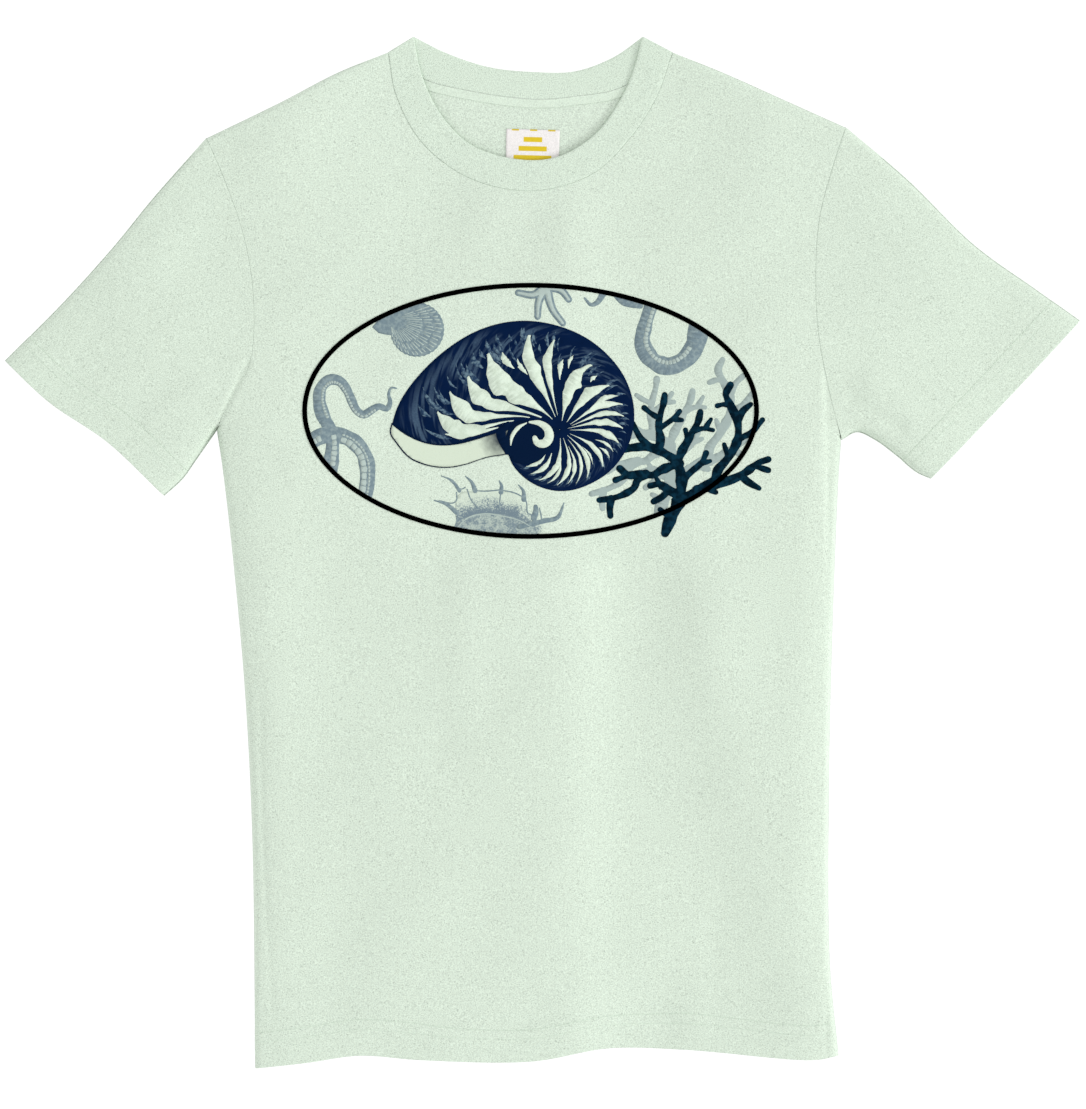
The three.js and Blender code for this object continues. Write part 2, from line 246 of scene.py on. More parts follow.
def relief(plan):
    """Ridges, hollows and unevenness of the top of the shirt, away from its rolled edges."""
    rise = sum(crease(plan, *one) for one in CREASES) + sum(fall(plan, *one) for one in FALLS)
    for turn, size, phase, tall in waves:
        angle = 2 * math.pi * turn
        wavelength = 45 + 115 * size
        place = plan @ np.array([math.cos(angle), math.sin(angle)])
        rise = rise + UNEVEN * (0.4 + tall) * np.sin(2 * math.pi * (place / wavelength + phase))
    x, y = plan[..., 0], plan[..., 1]
    (top_x, top_y), (low_x, low_y) = SIDE_FOLD
    fold_x = top_x + (low_x - top_x) * (y - top_y) / (low_y - top_y)
    window = smooth_step(-25, 40, y) * (1 - smooth_step(112, 134, y))
    rise = rise - SIDE_FOLD_DROP * window * smooth_step(-1.6, 3.2, x - fold_x) * (1 - smooth_step(202, 236, x))
    seam = sum(np.exp(-((line.distance(plan) / 1.6) ** 2)) for line in seams_showing)
    return rise - 0.55 * seam


def level_of(plan, roll, slope_share=0):
    """How far up its height the cloth is, from 0 at a folded edge to 1 well inside."""
    inside = edge_distance(plan)
    rolled = (1 - (1 - np.minimum(inside / roll, 1)) ** 2.9) ** (1 / 2.2)
    sloped = 1 - (1 - np.minimum(inside / SLOPE_REACH, 1)) ** 2
    return (1 - slope_share) * rolled + slope_share * sloped


def front_height(plan, gap=SEAM_GAP / 2, thickness=JERSEY):
    level = level_of(plan, FRONT_ROLL, SLOPE_SHARE)
    rise = fullness(plan) - thickness / 2 - SEAM_HEIGHT
    return SEAM_HEIGHT + gap + (rise - gap + relief(plan)) * level


def back_height(plan, lift=0, thickness=JERSEY, gap=SEAM_GAP / 2):
    level = level_of(plan, BACK_ROLL)
    x, y = plan[..., 0], plan[..., 1]
    lift = lift + NECK_REST * smooth_step(200, 280, y) * (1 - smooth_step(80, 150, np.abs(x + 8)))
    return SEAM_HEIGHT - gap - (SEAM_HEIGHT - thickness / 2 - lift - gap) * level


def with_height(plan, height):
    return np.concatenate([plan, height[..., None]], -1)


# ---- Meshes ----
def make_object(name, vertices, faces, uv=None, uv_name="cloth", smooth=True):
    """A piece of the shirt from vertices in millimetres. It is put on the frame's one body later, by finished()."""
    mesh = bpy.data.meshes.new(name)
    mesh.from_pydata((np.asarray(vertices, float) * MM).tolist(), [], faces)
    mesh.polygons.foreach_set("use_smooth", [smooth] * len(mesh.polygons))
    if uv is not None:
        layer = mesh.uv_layers.new(name=uv_name)
        loops = np.zeros(len(mesh.loops), int)
        mesh.loops.foreach_get("vertex_index", loops)
        layer.data.foreach_set("uv", np.asarray(uv, float)[loops].ravel())
    mesh.validate()
    obj = bpy.data.objects.new(name, mesh)
    bpy.context.collection.objects.link(obj)
    return obj


def grid_normals(grid, ringed):
    if ringed:
        across = np.roll(grid, -1, axis=1) - np.roll(grid, 1, axis=1)
    else:
        across = np.gradient(grid, axis=1)
    along = np.gradient(grid, axis=0)
    normals = np.cross(across, along)
    return normals / np.maximum(np.linalg.norm(normals, axis=-1, keepdims=True), 1e-9)


def sheet_mesh(name, grid, thickness, ringed=False, uv=None, rim=0.75, upwards=None):
    """A closed sheet round a grid of middle points [row][column], thinner along its cut edges.

    thickness is one number or one for each grid point, and upwards is how much of it lies on
    the outside. The grid's normals have to point outwards.
    """
    rows, columns = grid.shape[:2]
    normals = grid_normals(grid, ringed)
    full = np.broadcast_to(np.asarray(thickness, float), (rows, columns)).copy()
    share = 0.5 if upwards is None else upwards
    full[0] *= rim
    full[-1] *= rim
    if not ringed:
        full[:, 0] *= rim
        full[:, -1] *= rim
    outer = grid + normals * (full * share)[..., None]
    inner = grid - normals * (full * (1 - share))[..., None]
    vertices = np.concatenate([outer.reshape(-1, 3), inner.reshape(-1, 3)])
    index = np.arange(rows * columns).reshape(rows, columns)
    wrapped = np.concatenate([index, index[:, :1]], axis=1) if ringed else index
    a, b = wrapped[:-1, :-1].ravel(), wrapped[:-1, 1:].ravel()
    c, d = wrapped[1:, 1:].ravel(), wrapped[1:, :-1].ravel()
    inside = rows * columns
    faces = np.stack([a, b, c, d], -1).tolist()
    faces += (np.stack([d, c, b, a], -1) + inside).tolist()
    edges = [wrapped[0], wrapped[-1][::-1]]
    if not ringed:
        edges += [wrapped[::-1, 0], wrapped[:, -1]]
    for edge in edges:
        for p, q in zip(edge.tolist(), edge[1:].tolist()):
            faces.append([q, p, p + inside, q + inside])
    uvs = None if uv is None else np.concatenate([uv.reshape(-1, 2)] * 2)
    return make_object(name, vertices, faces, uvs)


def turn_steps(reach, total, count):
    """Shares of total from 0 to reach, even round the quarter turn of a rolled edge."""
    return reach * (1 - np.cos(np.linspace(0, math.pi / 2, count))) / total


def even_steps(start, end, pitch, total):
    """Shares after start up to end, about a pitch apart where total is the whole length."""
    count = max(1, round((end - start) * total / pitch))
    return np.linspace(start, end, count + 1)[1:]


# ---- Body panels ----
def armhole_edge(side, share, sleeve_or_body):
    ease = 0.25 * (1 - smooth_step(0, 0.08, np.asarray(share, float)))
    return side["armhole"].beside(share, side["hand"] * sleeve_or_body * (SEAM_GAP / 2 + ease))


def body_side(side, up):
    lower = side["side"].at(np.minimum(up / ARMPIT, 1))
    upper = armhole_edge(side, np.maximum((up - ARMPIT) / (1 - ARMPIT), 0), -1)
    return np.where((up < ARMPIT)[..., None], lower, upper)


def body_top(face, across):
    first = right["shoulder"].at(np.minimum(across / SHOULDER_END, 1))
    last = left["shoulder"].at(np.minimum((1 - across) / (1 - NECK_END), 1))
    along = np.clip((across - SHOULDER_END) / (NECK_END - SHOULDER_END), 0, 1)
    middle = neck[face].beside(along, SEAM_GAP / 2)
    chosen = np.where((across < SHOULDER_END)[..., None], first, middle)
    return np.where((across > NECK_END)[..., None], last, chosen)


def hem_point(face, across):
    start, end = (body_top(face, np.array(share))[0] for share in (SHOULDER_END, NECK_END))
    reached = (body_top(face, across)[..., 0] - start) / (end - start)
    under_neck = SHOULDER_END + (NECK_END - SHOULDER_END) * reached
    middle = (across >= SHOULDER_END) & (across <= NECK_END)
    return hem.at(np.where(middle, under_neck, across))


def body_plan(face, across, up):
    across, up = np.broadcast_arrays(across, up)
    low, high = hem_point(face, across), body_top(face, across)
    point = low + (high - low) * up[..., None]
    for side, end, pull in ((right, 0, 1 - across / SHOULDER_END),
                            (left, 1, 1 - (1 - across) / (1 - NECK_END))):
        foot, head = hem.at(end), body_top(face, np.array(float(end)))
        straight = foot + (head - foot) * up[..., None]
        bend = body_side(side, up) - straight
        point = point + bend * np.maximum(pull, 0)[..., None]
    return point


def body_grid(face, column_pitch, row_pitch):
    near = turn_steps(EDGE_BAND, 415, 14)
    columns = np.concatenate([
        near, even_steps(near[-1], SHOULDER_END, column_pitch, 415),
        even_steps(SHOULDER_END, NECK_END, column_pitch, 440),
        even_steps(NECK_END, 1 - near[-1], column_pitch, 415), 1 - near[-2::-1]])
    top = turn_steps(EDGE_BAND, 650, 12)
    rows = np.concatenate([
        [0, 0.6 / 650, 2 / 650], even_steps(2 / 650, ARMPIT, row_pitch, 650),
        even_steps(ARMPIT, 1 - top[-1], row_pitch, 650), 1 - top[-2::-1]])
    return columns[None, :], rows[:, None]


def hem_height(plan, up):
    """The doubled hem stands out a little, down from its upper needle line."""
    return 0.3 * (1 - smooth_step(HEM_ROWS[0] * ARMPIT - 0.002, HEM_ROWS[0] * ARMPIT + 0.004, up))


def body_surface(face, across, up):
    plan = body_plan(face, across, up)
    if face == "front":
        return with_height(plan, front_height(plan) + hem_height(plan, up))
    lift = HEM_LIFT * (1 - smooth_step(0.055 * ARMPIT, 0.15 * ARMPIT, np.broadcast_to(up, plan.shape[:-1])))
    return with_height(plan, back_height(plan, lift))


def hem_thickness(up, shape):
    doubled = 1 - smooth_step(HEM_ROWS[0] * ARMPIT - 0.002, HEM_ROWS[0] * ARMPIT + 0.008, up)
    return np.broadcast_to(JERSEY * (1 + HEM_DOUBLED * doubled), shape)


def body_panel(face, column_pitch, row_pitch):
    across, up = body_grid(face, column_pitch, row_pitch)
    grid = body_surface(face, across, up)
    thickness = hem_thickness(up, grid.shape[:2])
    if face == "back":
        grid, thickness = grid[:, ::-1], thickness[:, ::-1]
    return sheet_mesh(face + "_cloth", grid, thickness)


# ---- Sleeves ----
def sleeve_plan(side, around, stitch_share, from_cuff):
    def share_of(line):
        if from_cuff is None:
            return stitch_share * (line.length - STITCH_LINES[0]) / line.length
        return 1 - from_cuff / line.length

    top_share = share_of(side["sleeve_top"])
    towards_cuff = 1 - (1 - top_share) ** 2
    low, high = armhole_edge(side, around, 1), side["cuff"].at(around)
    point = low + (high - low) * towards_cuff
    for line, end, pull in ((side["underarm"], 0, 1 - around), (side["sleeve_top"], 1, around)):
        foot, head = armhole_edge(side, np.array(float(end)), 1), side["cuff"].at(end)
        if top_share == 0:
            break
        straight = foot + (head - foot) * towards_cuff
        point = point + (line.at(share_of(line)) - straight) * pull[:, None]
    return point


def sleeve_ring(side, around, stitch_share, from_cuff=None):
    lift = HEM_LIFT * smooth_step(0.62, 1, np.array(float(stitch_share)))
    plan = sleeve_plan(side, around, stitch_share, from_cuff)
    front = with_height(plan, front_height(plan))
    back = with_height(plan, back_height(plan, lift))
    front[0, 2] = front[-1, 2] = SEAM_HEIGHT
    ring = np.concatenate([front, back[-2:0:-1]])
    return ring if side["hand"] < 0 else ring[::-1]


def sleeve_around(count=60):
    near = turn_steps(0.11, 1, 14)
    return np.concatenate([near, np.linspace(near[-1], 1 - near[-1], count)[1:-1], 1 - near[::-1]])


def sleeve(side, name):
    around = sleeve_around()
    rows = [sleeve_ring(side, around, share) for share in (0, 0.003, 0.01, *np.linspace(0.02, 1, 58)[1:])]
    thickness = [JERSEY] * len(rows)
    for distance in (23.2, 21, 19.2, 17.5, 15, 12, 9, 6, 3.5, 1.5, 0.5, 0):
        rows.append(sleeve_ring(side, around, 1, distance))
        thickness.append(JERSEY * (1 + HEM_DOUBLED))
    return sheet_mesh(name, np.array(rows), np.array(thickness)[:, None], ringed=True)


# ---- Collar, tape and label ----
def rib_ring(along, outward):
    rings = []
    for face, shares in (("front", along), ("back", along[::-1])):
        seam = neck[face].beside(shares, -SEAM_GAP / 2)
        plan = seam + (collar[face].at(shares) - seam) * outward
        if face == "front":
            rings.append(with_height(plan, front_height(plan)))
        else:
            rings.append(with_height(plan, back_height(plan, 0, RIB)))
    return np.concatenate(rings)


def neck_rib():
    ends = turn_steps(0.09, 1, 9)
    along = np.concatenate([ends, np.linspace(ends[-1], 1 - ends[-1], 150)[1:-1], 1 - ends[::-1]])
    outward = np.concatenate([[0, 0.02, 0.045], np.linspace(0.09, 0.9, 13), [0.94, 0.97, 0.99, 1]])
    grid = np.array([rib_ring(along, share) for share in outward])
    from_fold = (1 - outward) * 22
    rounded = np.sqrt(1 - (1 - np.minimum(from_fold / RIB, 1)) ** 2)
    near_seam = 0.75 + 0.25 * smooth_step(0, 0.12, outward)
    thickness = RIB * np.maximum(rounded, 0.25) * near_seam
    steps = np.linalg.norm(np.diff(grid[0], axis=0, append=grid[0][:1]), axis=1)
    travelled = np.concatenate([[0], np.cumsum(steps)[:-1]])
    uv = np.stack(np.broadcast_arrays(travelled[None, :] * MM, outward[:, None] * 0.022), -1)
    return sheet_mesh("collar_rib", grid, thickness[:, None], ringed=True, uv=uv, rim=0.8)


def neck_tape():
    along = np.linspace(0.07, 0.93, 120)
    rows = np.array([0.2, 0.5, 1.2, 3.0, 4.8, 5.8, 6.2])
    plan = np.array([neck["back"].beside(along, distance) for distance in rows])
    grid = with_height(plan, back_height(plan) + JERSEY / 2 + 0.24)
    grid[..., 2] += 0.45 * (1 - smooth_step(0.2, 2.4, rows))[:, None]
    return sheet_mesh("tape_strip", grid[::-1], 0.4, rim=0.8)


def neck_label():
    across = np.linspace(-1, 1, 33)
    up = np.linspace(-1, 1, 33)
    turn = math.radians(-1.5)
    x = across[None, :] * LABEL_SIZE[0] / 2 * 0.985 + 0 * up[:, None]
    y = up[:, None] * LABEL_SIZE[1] / 2 * 0.985 + 0 * across[None, :]
    plan = np.stack([LABEL_CENTRE[0] + x * math.cos(turn) - y * math.sin(turn),
                     LABEL_CENTRE[1] + x * math.sin(turn) + y * math.cos(turn)], -1)
    curl = 0.5 * (up[:, None] < 0) * (up[:, None] ** 2) * (0.6 + 0.4 * np.cos(2.2 * across[None, :]))
    grid = with_height(plan, back_height(plan) + JERSEY / 2 + 0.45 + curl)
    uv = np.stack(np.broadcast_arrays(across[None, :], up[:, None]), -1) / 2 + 0.5
    return sheet_mesh("label_patch", grid, 0.5, uv=uv, rim=0.35)


# ---- Stitches ----
def stitch_mesh(name, paths, length=2.6, pitch=3.3, radius=0.2, sides=6):
    """Short rounded stitches end to end along paths of surface points with their normals."""
    vertices, faces = [], []
    for points, normals in paths:
        steps = np.linalg.norm(np.diff(points, axis=0), axis=1)
        travelled = np.concatenate([[0], np.cumsum(steps)])
        count = int(travelled[-1] // pitch)
        profile = [(-0.5, 0.25), (-0.38, 0.8), (-0.12, 1), (0.12, 1), (0.38, 0.8), (0.5, 0.25)]
        for k in range(count):
            middle = (k + 0.5) * travelled[-1] / count
            pick = lambda where, table: np.array([np.interp(where, travelled, table[:, i]) for i in range(3)])
            centre, up = pick(middle, points), pick(middle, normals)
            along = pick(middle + 1, points) - pick(middle - 1, points)
            along /= np.linalg.norm(along)
            aside = np.cross(up, along)
            base = len(vertices)
            for share, width in profile:
                for step in range(sides):
                    angle = 2 * math.pi * step / sides
                    offset = aside * math.cos(angle) + up * math.sin(angle) * 0.8
                    vertices.append(centre + along * share * length + offset * radius * width)
            rings = len(profile)
            for ring in range(rings - 1):
                for step in range(sides):
                    a = base + ring * sides + step
                    b = base + ring * sides + (step + 1) % sides
                    faces.append([a, b, b + sides, a + sides])
            faces.append([base + step for step in range(sides)][::-1])
            faces.append([base + (rings - 1) * sides + step for step in range(sides)])
    return make_object(name, vertices, faces)


def surface_row(face, row, lift):
    """Points with normals along one row of a body panel, on its outside."""
    across = np.linspace(0.004, 0.996, 240)[None, :]
    rows = np.array([row - 0.002, row, row + 0.002])[:, None]
    grid = body_surface(face, across, rows)
    normals = grid_normals(grid, False)[1]
    if face == "back":
        normals = -normals
    return grid[1] + normals * lift, normals


def hem_stitches():
    outside = JERSEY * (1 + HEM_DOUBLED) / 2 + 0.01
    return stitch_mesh("hem_threads", [surface_row(face, row * ARMPIT, outside)
                                       for face in ("front", "back") for row in HEM_ROWS])


def cuff_stitches(side, name):
    around = sleeve_around(90)
    paths = []
    for distance in STITCH_LINES:
        rings = np.array([sleeve_ring(side, around, 1, distance + step) for step in (0.8, 0, -0.8)])
        normals = grid_normals(rings, True)[1]
        outside = JERSEY * (1 + HEM_DOUBLED) / 2 + 0.01
        paths.append((rings[1] + normals * outside, normals))
    return stitch_mesh(name, paths)


# ---- Print: films of ink on the front ----
OVAL_CENTRE = (-8.3, 98.9)
OVAL_AXES = (157.7, 87.7)
OVAL_STROKE = 3.4
INK_STEP = 0.07  # how much higher each layer of ink stands


def ink_height(plan, layer):
    return front_height(plan) + JERSEY / 2 + 0.05 + INK_STEP * layer


def ellipse(centre, axes, count=96):
    angle = np.linspace(0, 2 * math.pi, count, endpoint=False)
    return np.stack([centre[0] + axes[0] * np.cos(angle), centre[1] + axes[1] * np.sin(angle)], -1)


INSIDE_OVAL = ellipse(OVAL_CENTRE, OVAL_AXES)


def counter_clockwise(polygon):
    x, y = polygon[:, 0], polygon[:, 1]
    area = np.sum(x * np.roll(y, -1) - y * np.roll(x, -1))
    return polygon if area > 0 else polygon[::-1]


def film(name, shapes, layer, clip=None, pitch=3.0):
    """A thin closed film over the union of plan shapes, cut off at the clip outline."""
    polygons = [counter_clockwise(np.asarray(shape, float)) for shape in shapes]
    if clip is not None:
        polygons.append(counter_clockwise(clip))
    corners, loops = [], []
    for polygon in polygons:
        loops.append(list(range(len(corners), len(corners) + len(polygon))))
        corners += polygon.tolist()
    drawn = np.vstack(polygons[:len(shapes)])
    low, high = drawn.min(axis=0), drawn.max(axis=0)
    for x in np.arange(low[0], high[0], pitch):
        for y in np.arange(low[1], high[1], pitch):
            corners.append([x + 0.013, y + 0.017])
    points, _, triangles, _, _, origins = delaunay_2d_cdt(corners, [], loops, 1, 1e-4)
    last = len(shapes)
    kept = [list(face) for face, origin in zip(triangles, origins)
            if any(k < last for k in origin) and (clip is None or last in origin)]
    used = sorted({k for face in kept for k in face})
    number = {k: i for i, k in enumerate(used)}
    plan = np.array([points[k] for k in used])
    faces = [[number[k] for k in face] for face in kept]
    return film_mesh(name, plan, faces, layer)


def film_mesh(name, plan, faces, layer, uv=None, uv_name="cloth"):
    top = with_height(plan, ink_height(plan, layer))
    low = top - [0, 0, 0.22 + INK_STEP * layer]
    count = len(plan)
    edges = {}
    for face in faces:
        for a, b in zip(face, face[1:] + face[:1]):
            edges[(a, b)] = True
    walls = [[b, a, a + count, b + count] for a, b in edges if (b, a) not in edges]
    under = [[k + count for k in face[::-1]] for face in faces]
    uvs = None if uv is None else np.concatenate([uv, uv])
    return make_object(name, np.concatenate([top, low]), faces + under + walls, uvs, uv_name)


def stroke(points, widths, pitch=2.0, caps=True):
    """The convex pieces of a brush stroke along a smooth line, with widths spread along it."""
    line = Line(points, 12) if len(points) > 2 else Line([points[0], np.mean(points, axis=0), points[1]], 8)
    count = max(3, round(line.length / pitch) + 1)
    shares = np.linspace(0, 1, count)
    half = np.interp(shares, np.linspace(0, 1, len(widths)), widths) / 2
    first, second = line.beside(shares, half), line.beside(shares, -half)
    pieces = [np.array([first[i], first[i + 1], second[i + 1], second[i]]) for i in range(count - 1)]
    if caps:
        for share, size in ((0.0, half[0]), (1.0, half[-1])):
            if size > 0.3:
                pieces.append(ellipse(line.at(share), (size, size), 12))
    return pieces


def bumpy_stroke(points, widths, rng, change, every, pitch):
    """A brush stroke whose width changes by up to a share of itself, at random, along it."""
    bumps = rng.uniform(1 - change, 1 + change, max(4, round(Line(points, 8).length / every)))
    widths = np.interp(np.linspace(0, 1, len(bumps)), np.linspace(0, 1, len(widths)), widths)
    return stroke(points, widths * bumps, pitch)


def smooth_outline(points, count=60):
    """A closed smooth outline through points."""
    loop = [tuple(point) for point in points]
    line = Line([loop[-1], *loop, loop[0], loop[1]], 20)
    start = line.lengths[20] / line.length
    end = line.lengths[20 * (len(loop) + 1)] / line.length
    return line.at(np.linspace(start, end, count, endpoint=False))


def oval_ring():
    angle = np.linspace(0, 2 * math.pi, 320, endpoint=False)[::-1]
    rows = []
    for step in np.linspace(-0.5, 0.5, 4):
        axes = [axis + step * OVAL_STROKE for axis in OVAL_AXES]
        rows.append(np.stack([OVAL_CENTRE[0] + axes[0] * np.cos(angle),
                              OVAL_CENTRE[1] + axes[1] * np.sin(angle)], -1))
    plan = np.array(rows).reshape(-1, 2)
    index = np.arange(4 * 320).reshape(4, 320)
    faces = [[index[r, c], index[r + 1, c], index[r + 1, (c + 1) % 320], index[r, (c + 1) % 320]]
             for r in range(3) for c in range(320)]
    return film_mesh("print_oval", plan, [[int(k) for k in face][::-1] for face in faces], 6)


# The coral: each branch is its points and the widths along it.
CORAL = [
    ([(85.6, 13.5), (89, 22.8), (95.5, 36.8), (97, 52), (94.1, 64)], (5.6, 7.6, 7.4, 5.8, 5)),
    ([(94.1, 64), (79.4, 72.1), (71.8, 73.8), (57, 72.5)], (5.5, 5, 4.5, 4)),
    ([(76, 73.6), (68.9, 79.4), (63, 90)], (4, 3.6, 3)),
    ([(81, 71), (82.4, 79), (81, 88), (82.5, 97), (84.5, 104), (85.3, 110)], (4.6, 4.4, 4, 3.6, 3.4)),
    ([(82, 93.5), (76, 97), (71, 101)], (3.4, 3, 2.8)),
    ([(81.5, 86.5), (88, 91), (92, 94), (95.8, 98.6)], (3.8, 3.6, 3)),
    ([(91, 93.2), (97.4, 92.4)], (3, 2.6)),
    ([(94.5, 62), (97, 70), (101.1, 77.3), (105, 85), (108.5, 91), (110.2, 98)], (5, 4.6, 4.4, 4, 3.4)),
    ([(104.6, 84.3), (112, 86.6), (119, 85.4)], (3.6, 3.2, 2.8)),
    ([(113.2, 86.2), (117.6, 93)], (3, 2.6)),
    ([(101.4, 77.8), (99.8, 85.5)], (3.4, 2.8)),
    ([(95, 62), (83, 57.6), (77, 54), (69, 55.2), (60, 54), (54, 58.6)], (5.4, 5, 4.8, 4.4, 3.6)),
    ([(61, 54.2), (51, 50.6)], (3.6, 3)),
    ([(72, 54.6), (66.4, 50.6), (63.8, 45), (54.5, 39.6), (47.2, 37.6), (39.6, 36.6)], (4.6, 4.2, 4, 4, 3.6)),
    ([(48, 37.4), (47, 31), (47.4, 25.6)], (4, 3.6, 3.2)),
    ([(96, 39.5), (88, 43.6), (82.2, 47.6), (75.2, 46.6)], (5, 4.4, 4, 3.4)),
    ([(88, 43), (83, 38.5), (77.6, 35.6)], (4, 3.6, 3)),
    ([(83, 46), (79.6, 51.6)], (3.4, 2.8)),
    ([(97.6, 50.6), (105, 57.4), (111, 62.6), (114.2, 69.4)], (4.6, 4.2, 3.8, 3)),
    ([(110, 61.8), (117, 63.8)], (3.4, 2.8)),
    ([(98, 37), (110.2, 44.6), (120, 50), (122.4, 57.4), (128, 64), (133, 71.4), (136.4, 80), (136, 92),
      (131, 103.2), (128, 110.4), (131.2, 117)], (6, 6, 5.6, 5.4, 5, 5, 4.6, 4.4, 4, 3.6)),
    ([(131.4, 102.4), (127, 103.4), (122, 102.4)], (3.6, 3.2, 2.6)),
    ([(136, 91), (139.8, 98.6), (145.4, 103.4)], (4, 3.6, 3)),
    ([(132, 70), (138.6, 79.6), (146, 83.8), (153.6, 92.6)], (4, 3.8, 3.6, 2.8)),
    ([(129.6, 66.4), (126.8, 75.4)], (3.4, 2.6)),
    ([(108, 43.4), (122.8, 47.8), (136.1, 52.6), (143.4, 57), (150.4, 62.4), (157.6, 65)],
     (5.6, 5, 4.8, 4.2, 3.6)),
    ([(147.6, 60.4), (157.6, 57.4)], (3.6, 3)),
    ([(138.6, 53.6), (143.6, 49.2), (151.2, 44.8)], (4, 3.6, 3)),
    ([(112, 46), (121, 42)], (3.6, 3)),
    ([(92, 26), (87, 26.6), (82, 30)], (3.6, 3.2, 2.6)),
]
CORAL_WIDTH = 1.26
GHOST_SHIFT = (-5.5, 11)
GHOST_LEAN = 0.145


def coral(name, layer, ghost=False, clip=None):
    """The coral, or its pale echo behind it, which leans up and to one side."""
    rng = np.random.default_rng(11)
    pieces = []
    for points, widths in CORAL:
        places = np.array(points, float)
        if ghost:
            lean = GHOST_LEAN * (places[:, 0] - CORAL[0][0][0][0])
            places = places + np.stack([np.full(len(places), GHOST_SHIFT[0]), GHOST_SHIFT[1] + lean], -1)
        widths = np.array(widths) * CORAL_WIDTH
        pieces += bumpy_stroke(places.tolist(), widths, rng, 0.22, 4.5, 1.6)
    return film(name, pieces, layer, clip)


# The nautilus is drawn in turns round its umbilicus: a rim distance at each rim angle, and the
# angle at which the line of growth from there leaves the umbilicus.
UMBILICUS = np.array([12.6, 85.75])
RIM = [(178, 119.5), (150, 99.5), (120, 85.5), (90, 71.5), (60, 62), (30, 55.8), (0, 50.5), (-30, 46),
       (-60, 43), (-90, 43), (-120, 42.2), (-150, 41.3), (-177, 35.8)]
CORE = [(178, 165), (150, 148), (137, 128), (122, 119), (108, 112.5), (94, 104), (80, 96), (54, 80), (38.6, 52),
        (22, 34), (13, 25), (2.5, 15), (-20, -2), (-50, -22), (-75, -41), (-101, -68), (-115, -82),
        (-135, -106), (-150, -124), (-177, -165)]


def table_value(table, angle):
    angles, values = zip(*sorted(table))
    return np.interp(angle, angles, values)


def rim_reach(angle):
    """The rim's distance at an angle, smoothed over its table."""
    return np.mean([table_value(RIM, np.asarray(angle, float) + step) for step in (-9, -4.5, 0, 4.5, 9)], axis=0)


def growth_point(angle, out):
    """The point at a share of the way out along the growth line that ends at a rim angle."""
    angle, out = np.broadcast_arrays(np.asarray(angle, float), np.asarray(out, float))
    core = table_value(CORE, angle)
    sweep = 13 * smooth_step(120, 178, angle) * np.sin(math.pi * out**1.2)
    bend = 0.6 + 0.9 * smooth_step(20, 130, angle)
    turned = np.radians(angle + (core - angle) * (1 - out) ** bend + sweep)
    reach = rim_reach(angle) * out
    return UMBILICUS + np.stack([reach * np.cos(turned), reach * np.sin(turned)], -1)


def shell_body():
    angles = np.linspace(178, -177, 260)
    outs = np.concatenate([[0.001, 0.02], np.linspace(0.05, 1, 34)])
    plan = growth_point(angles[None, :], outs[:, None])
    index = np.arange(plan.shape[0] * plan.shape[1]).reshape(plan.shape[:2])
    faces = np.stack([index[:-1, :-1], index[1:, :-1], index[1:, 1:], index[:-1, 1:]], -1).reshape(-1, 4)
    uv = np.stack(np.broadcast_arrays((178 - angles)[None, :] / 355, outs[:, None]), -1).reshape(-1, 2)
    return film_mesh("print_shell", plan.reshape(-1, 2), [face[::-1] for face in faces.tolist()], 3, uv, "shell")


def flame(angle, width, start, end, peak, rng):
    """One pale flame of the shell: widest at its peak, thin at the core and ragged outside."""
    steps = 30
    outs = np.linspace(start, end, steps)
    share = (outs - start) / (end - start)
    swell = (0.24 + 0.76 * smooth_step(0, peak, share)) * (1 - 0.9 * smooth_step(peak, 1.02, share) ** 1.25)
    rough = np.convolve(rng.standard_normal((2, steps + 4)).ravel(), [0.3, 0.5, 0.3], "same").reshape(2, -1)
    rough = 0.2 * rough[:, 2:-2] * smooth_step(0.1, 0.5, share)
    drift = np.convolve(rng.standard_normal(steps), np.ones(7) / 7, "same") * 0.06 * width
    half = 0.5 * width * swell
    bow = FLAME_BOW * (end - start) * smooth_step(4, 9, 178 - angle)
    drift = drift + bow * np.sin(math.pi * share) - TIP_CURL * smooth_step(0.6, 1, outs) * smooth_step(90, 150, angle)
    one = growth_point(angle + drift - half * (1 + rough[0]), outs)
    two = growth_point(angle + drift + half * (1 + rough[1]), outs)
    return [np.array([one[i], one[i + 1], two[i + 1], two[i]]) for i in range(steps - 1)]


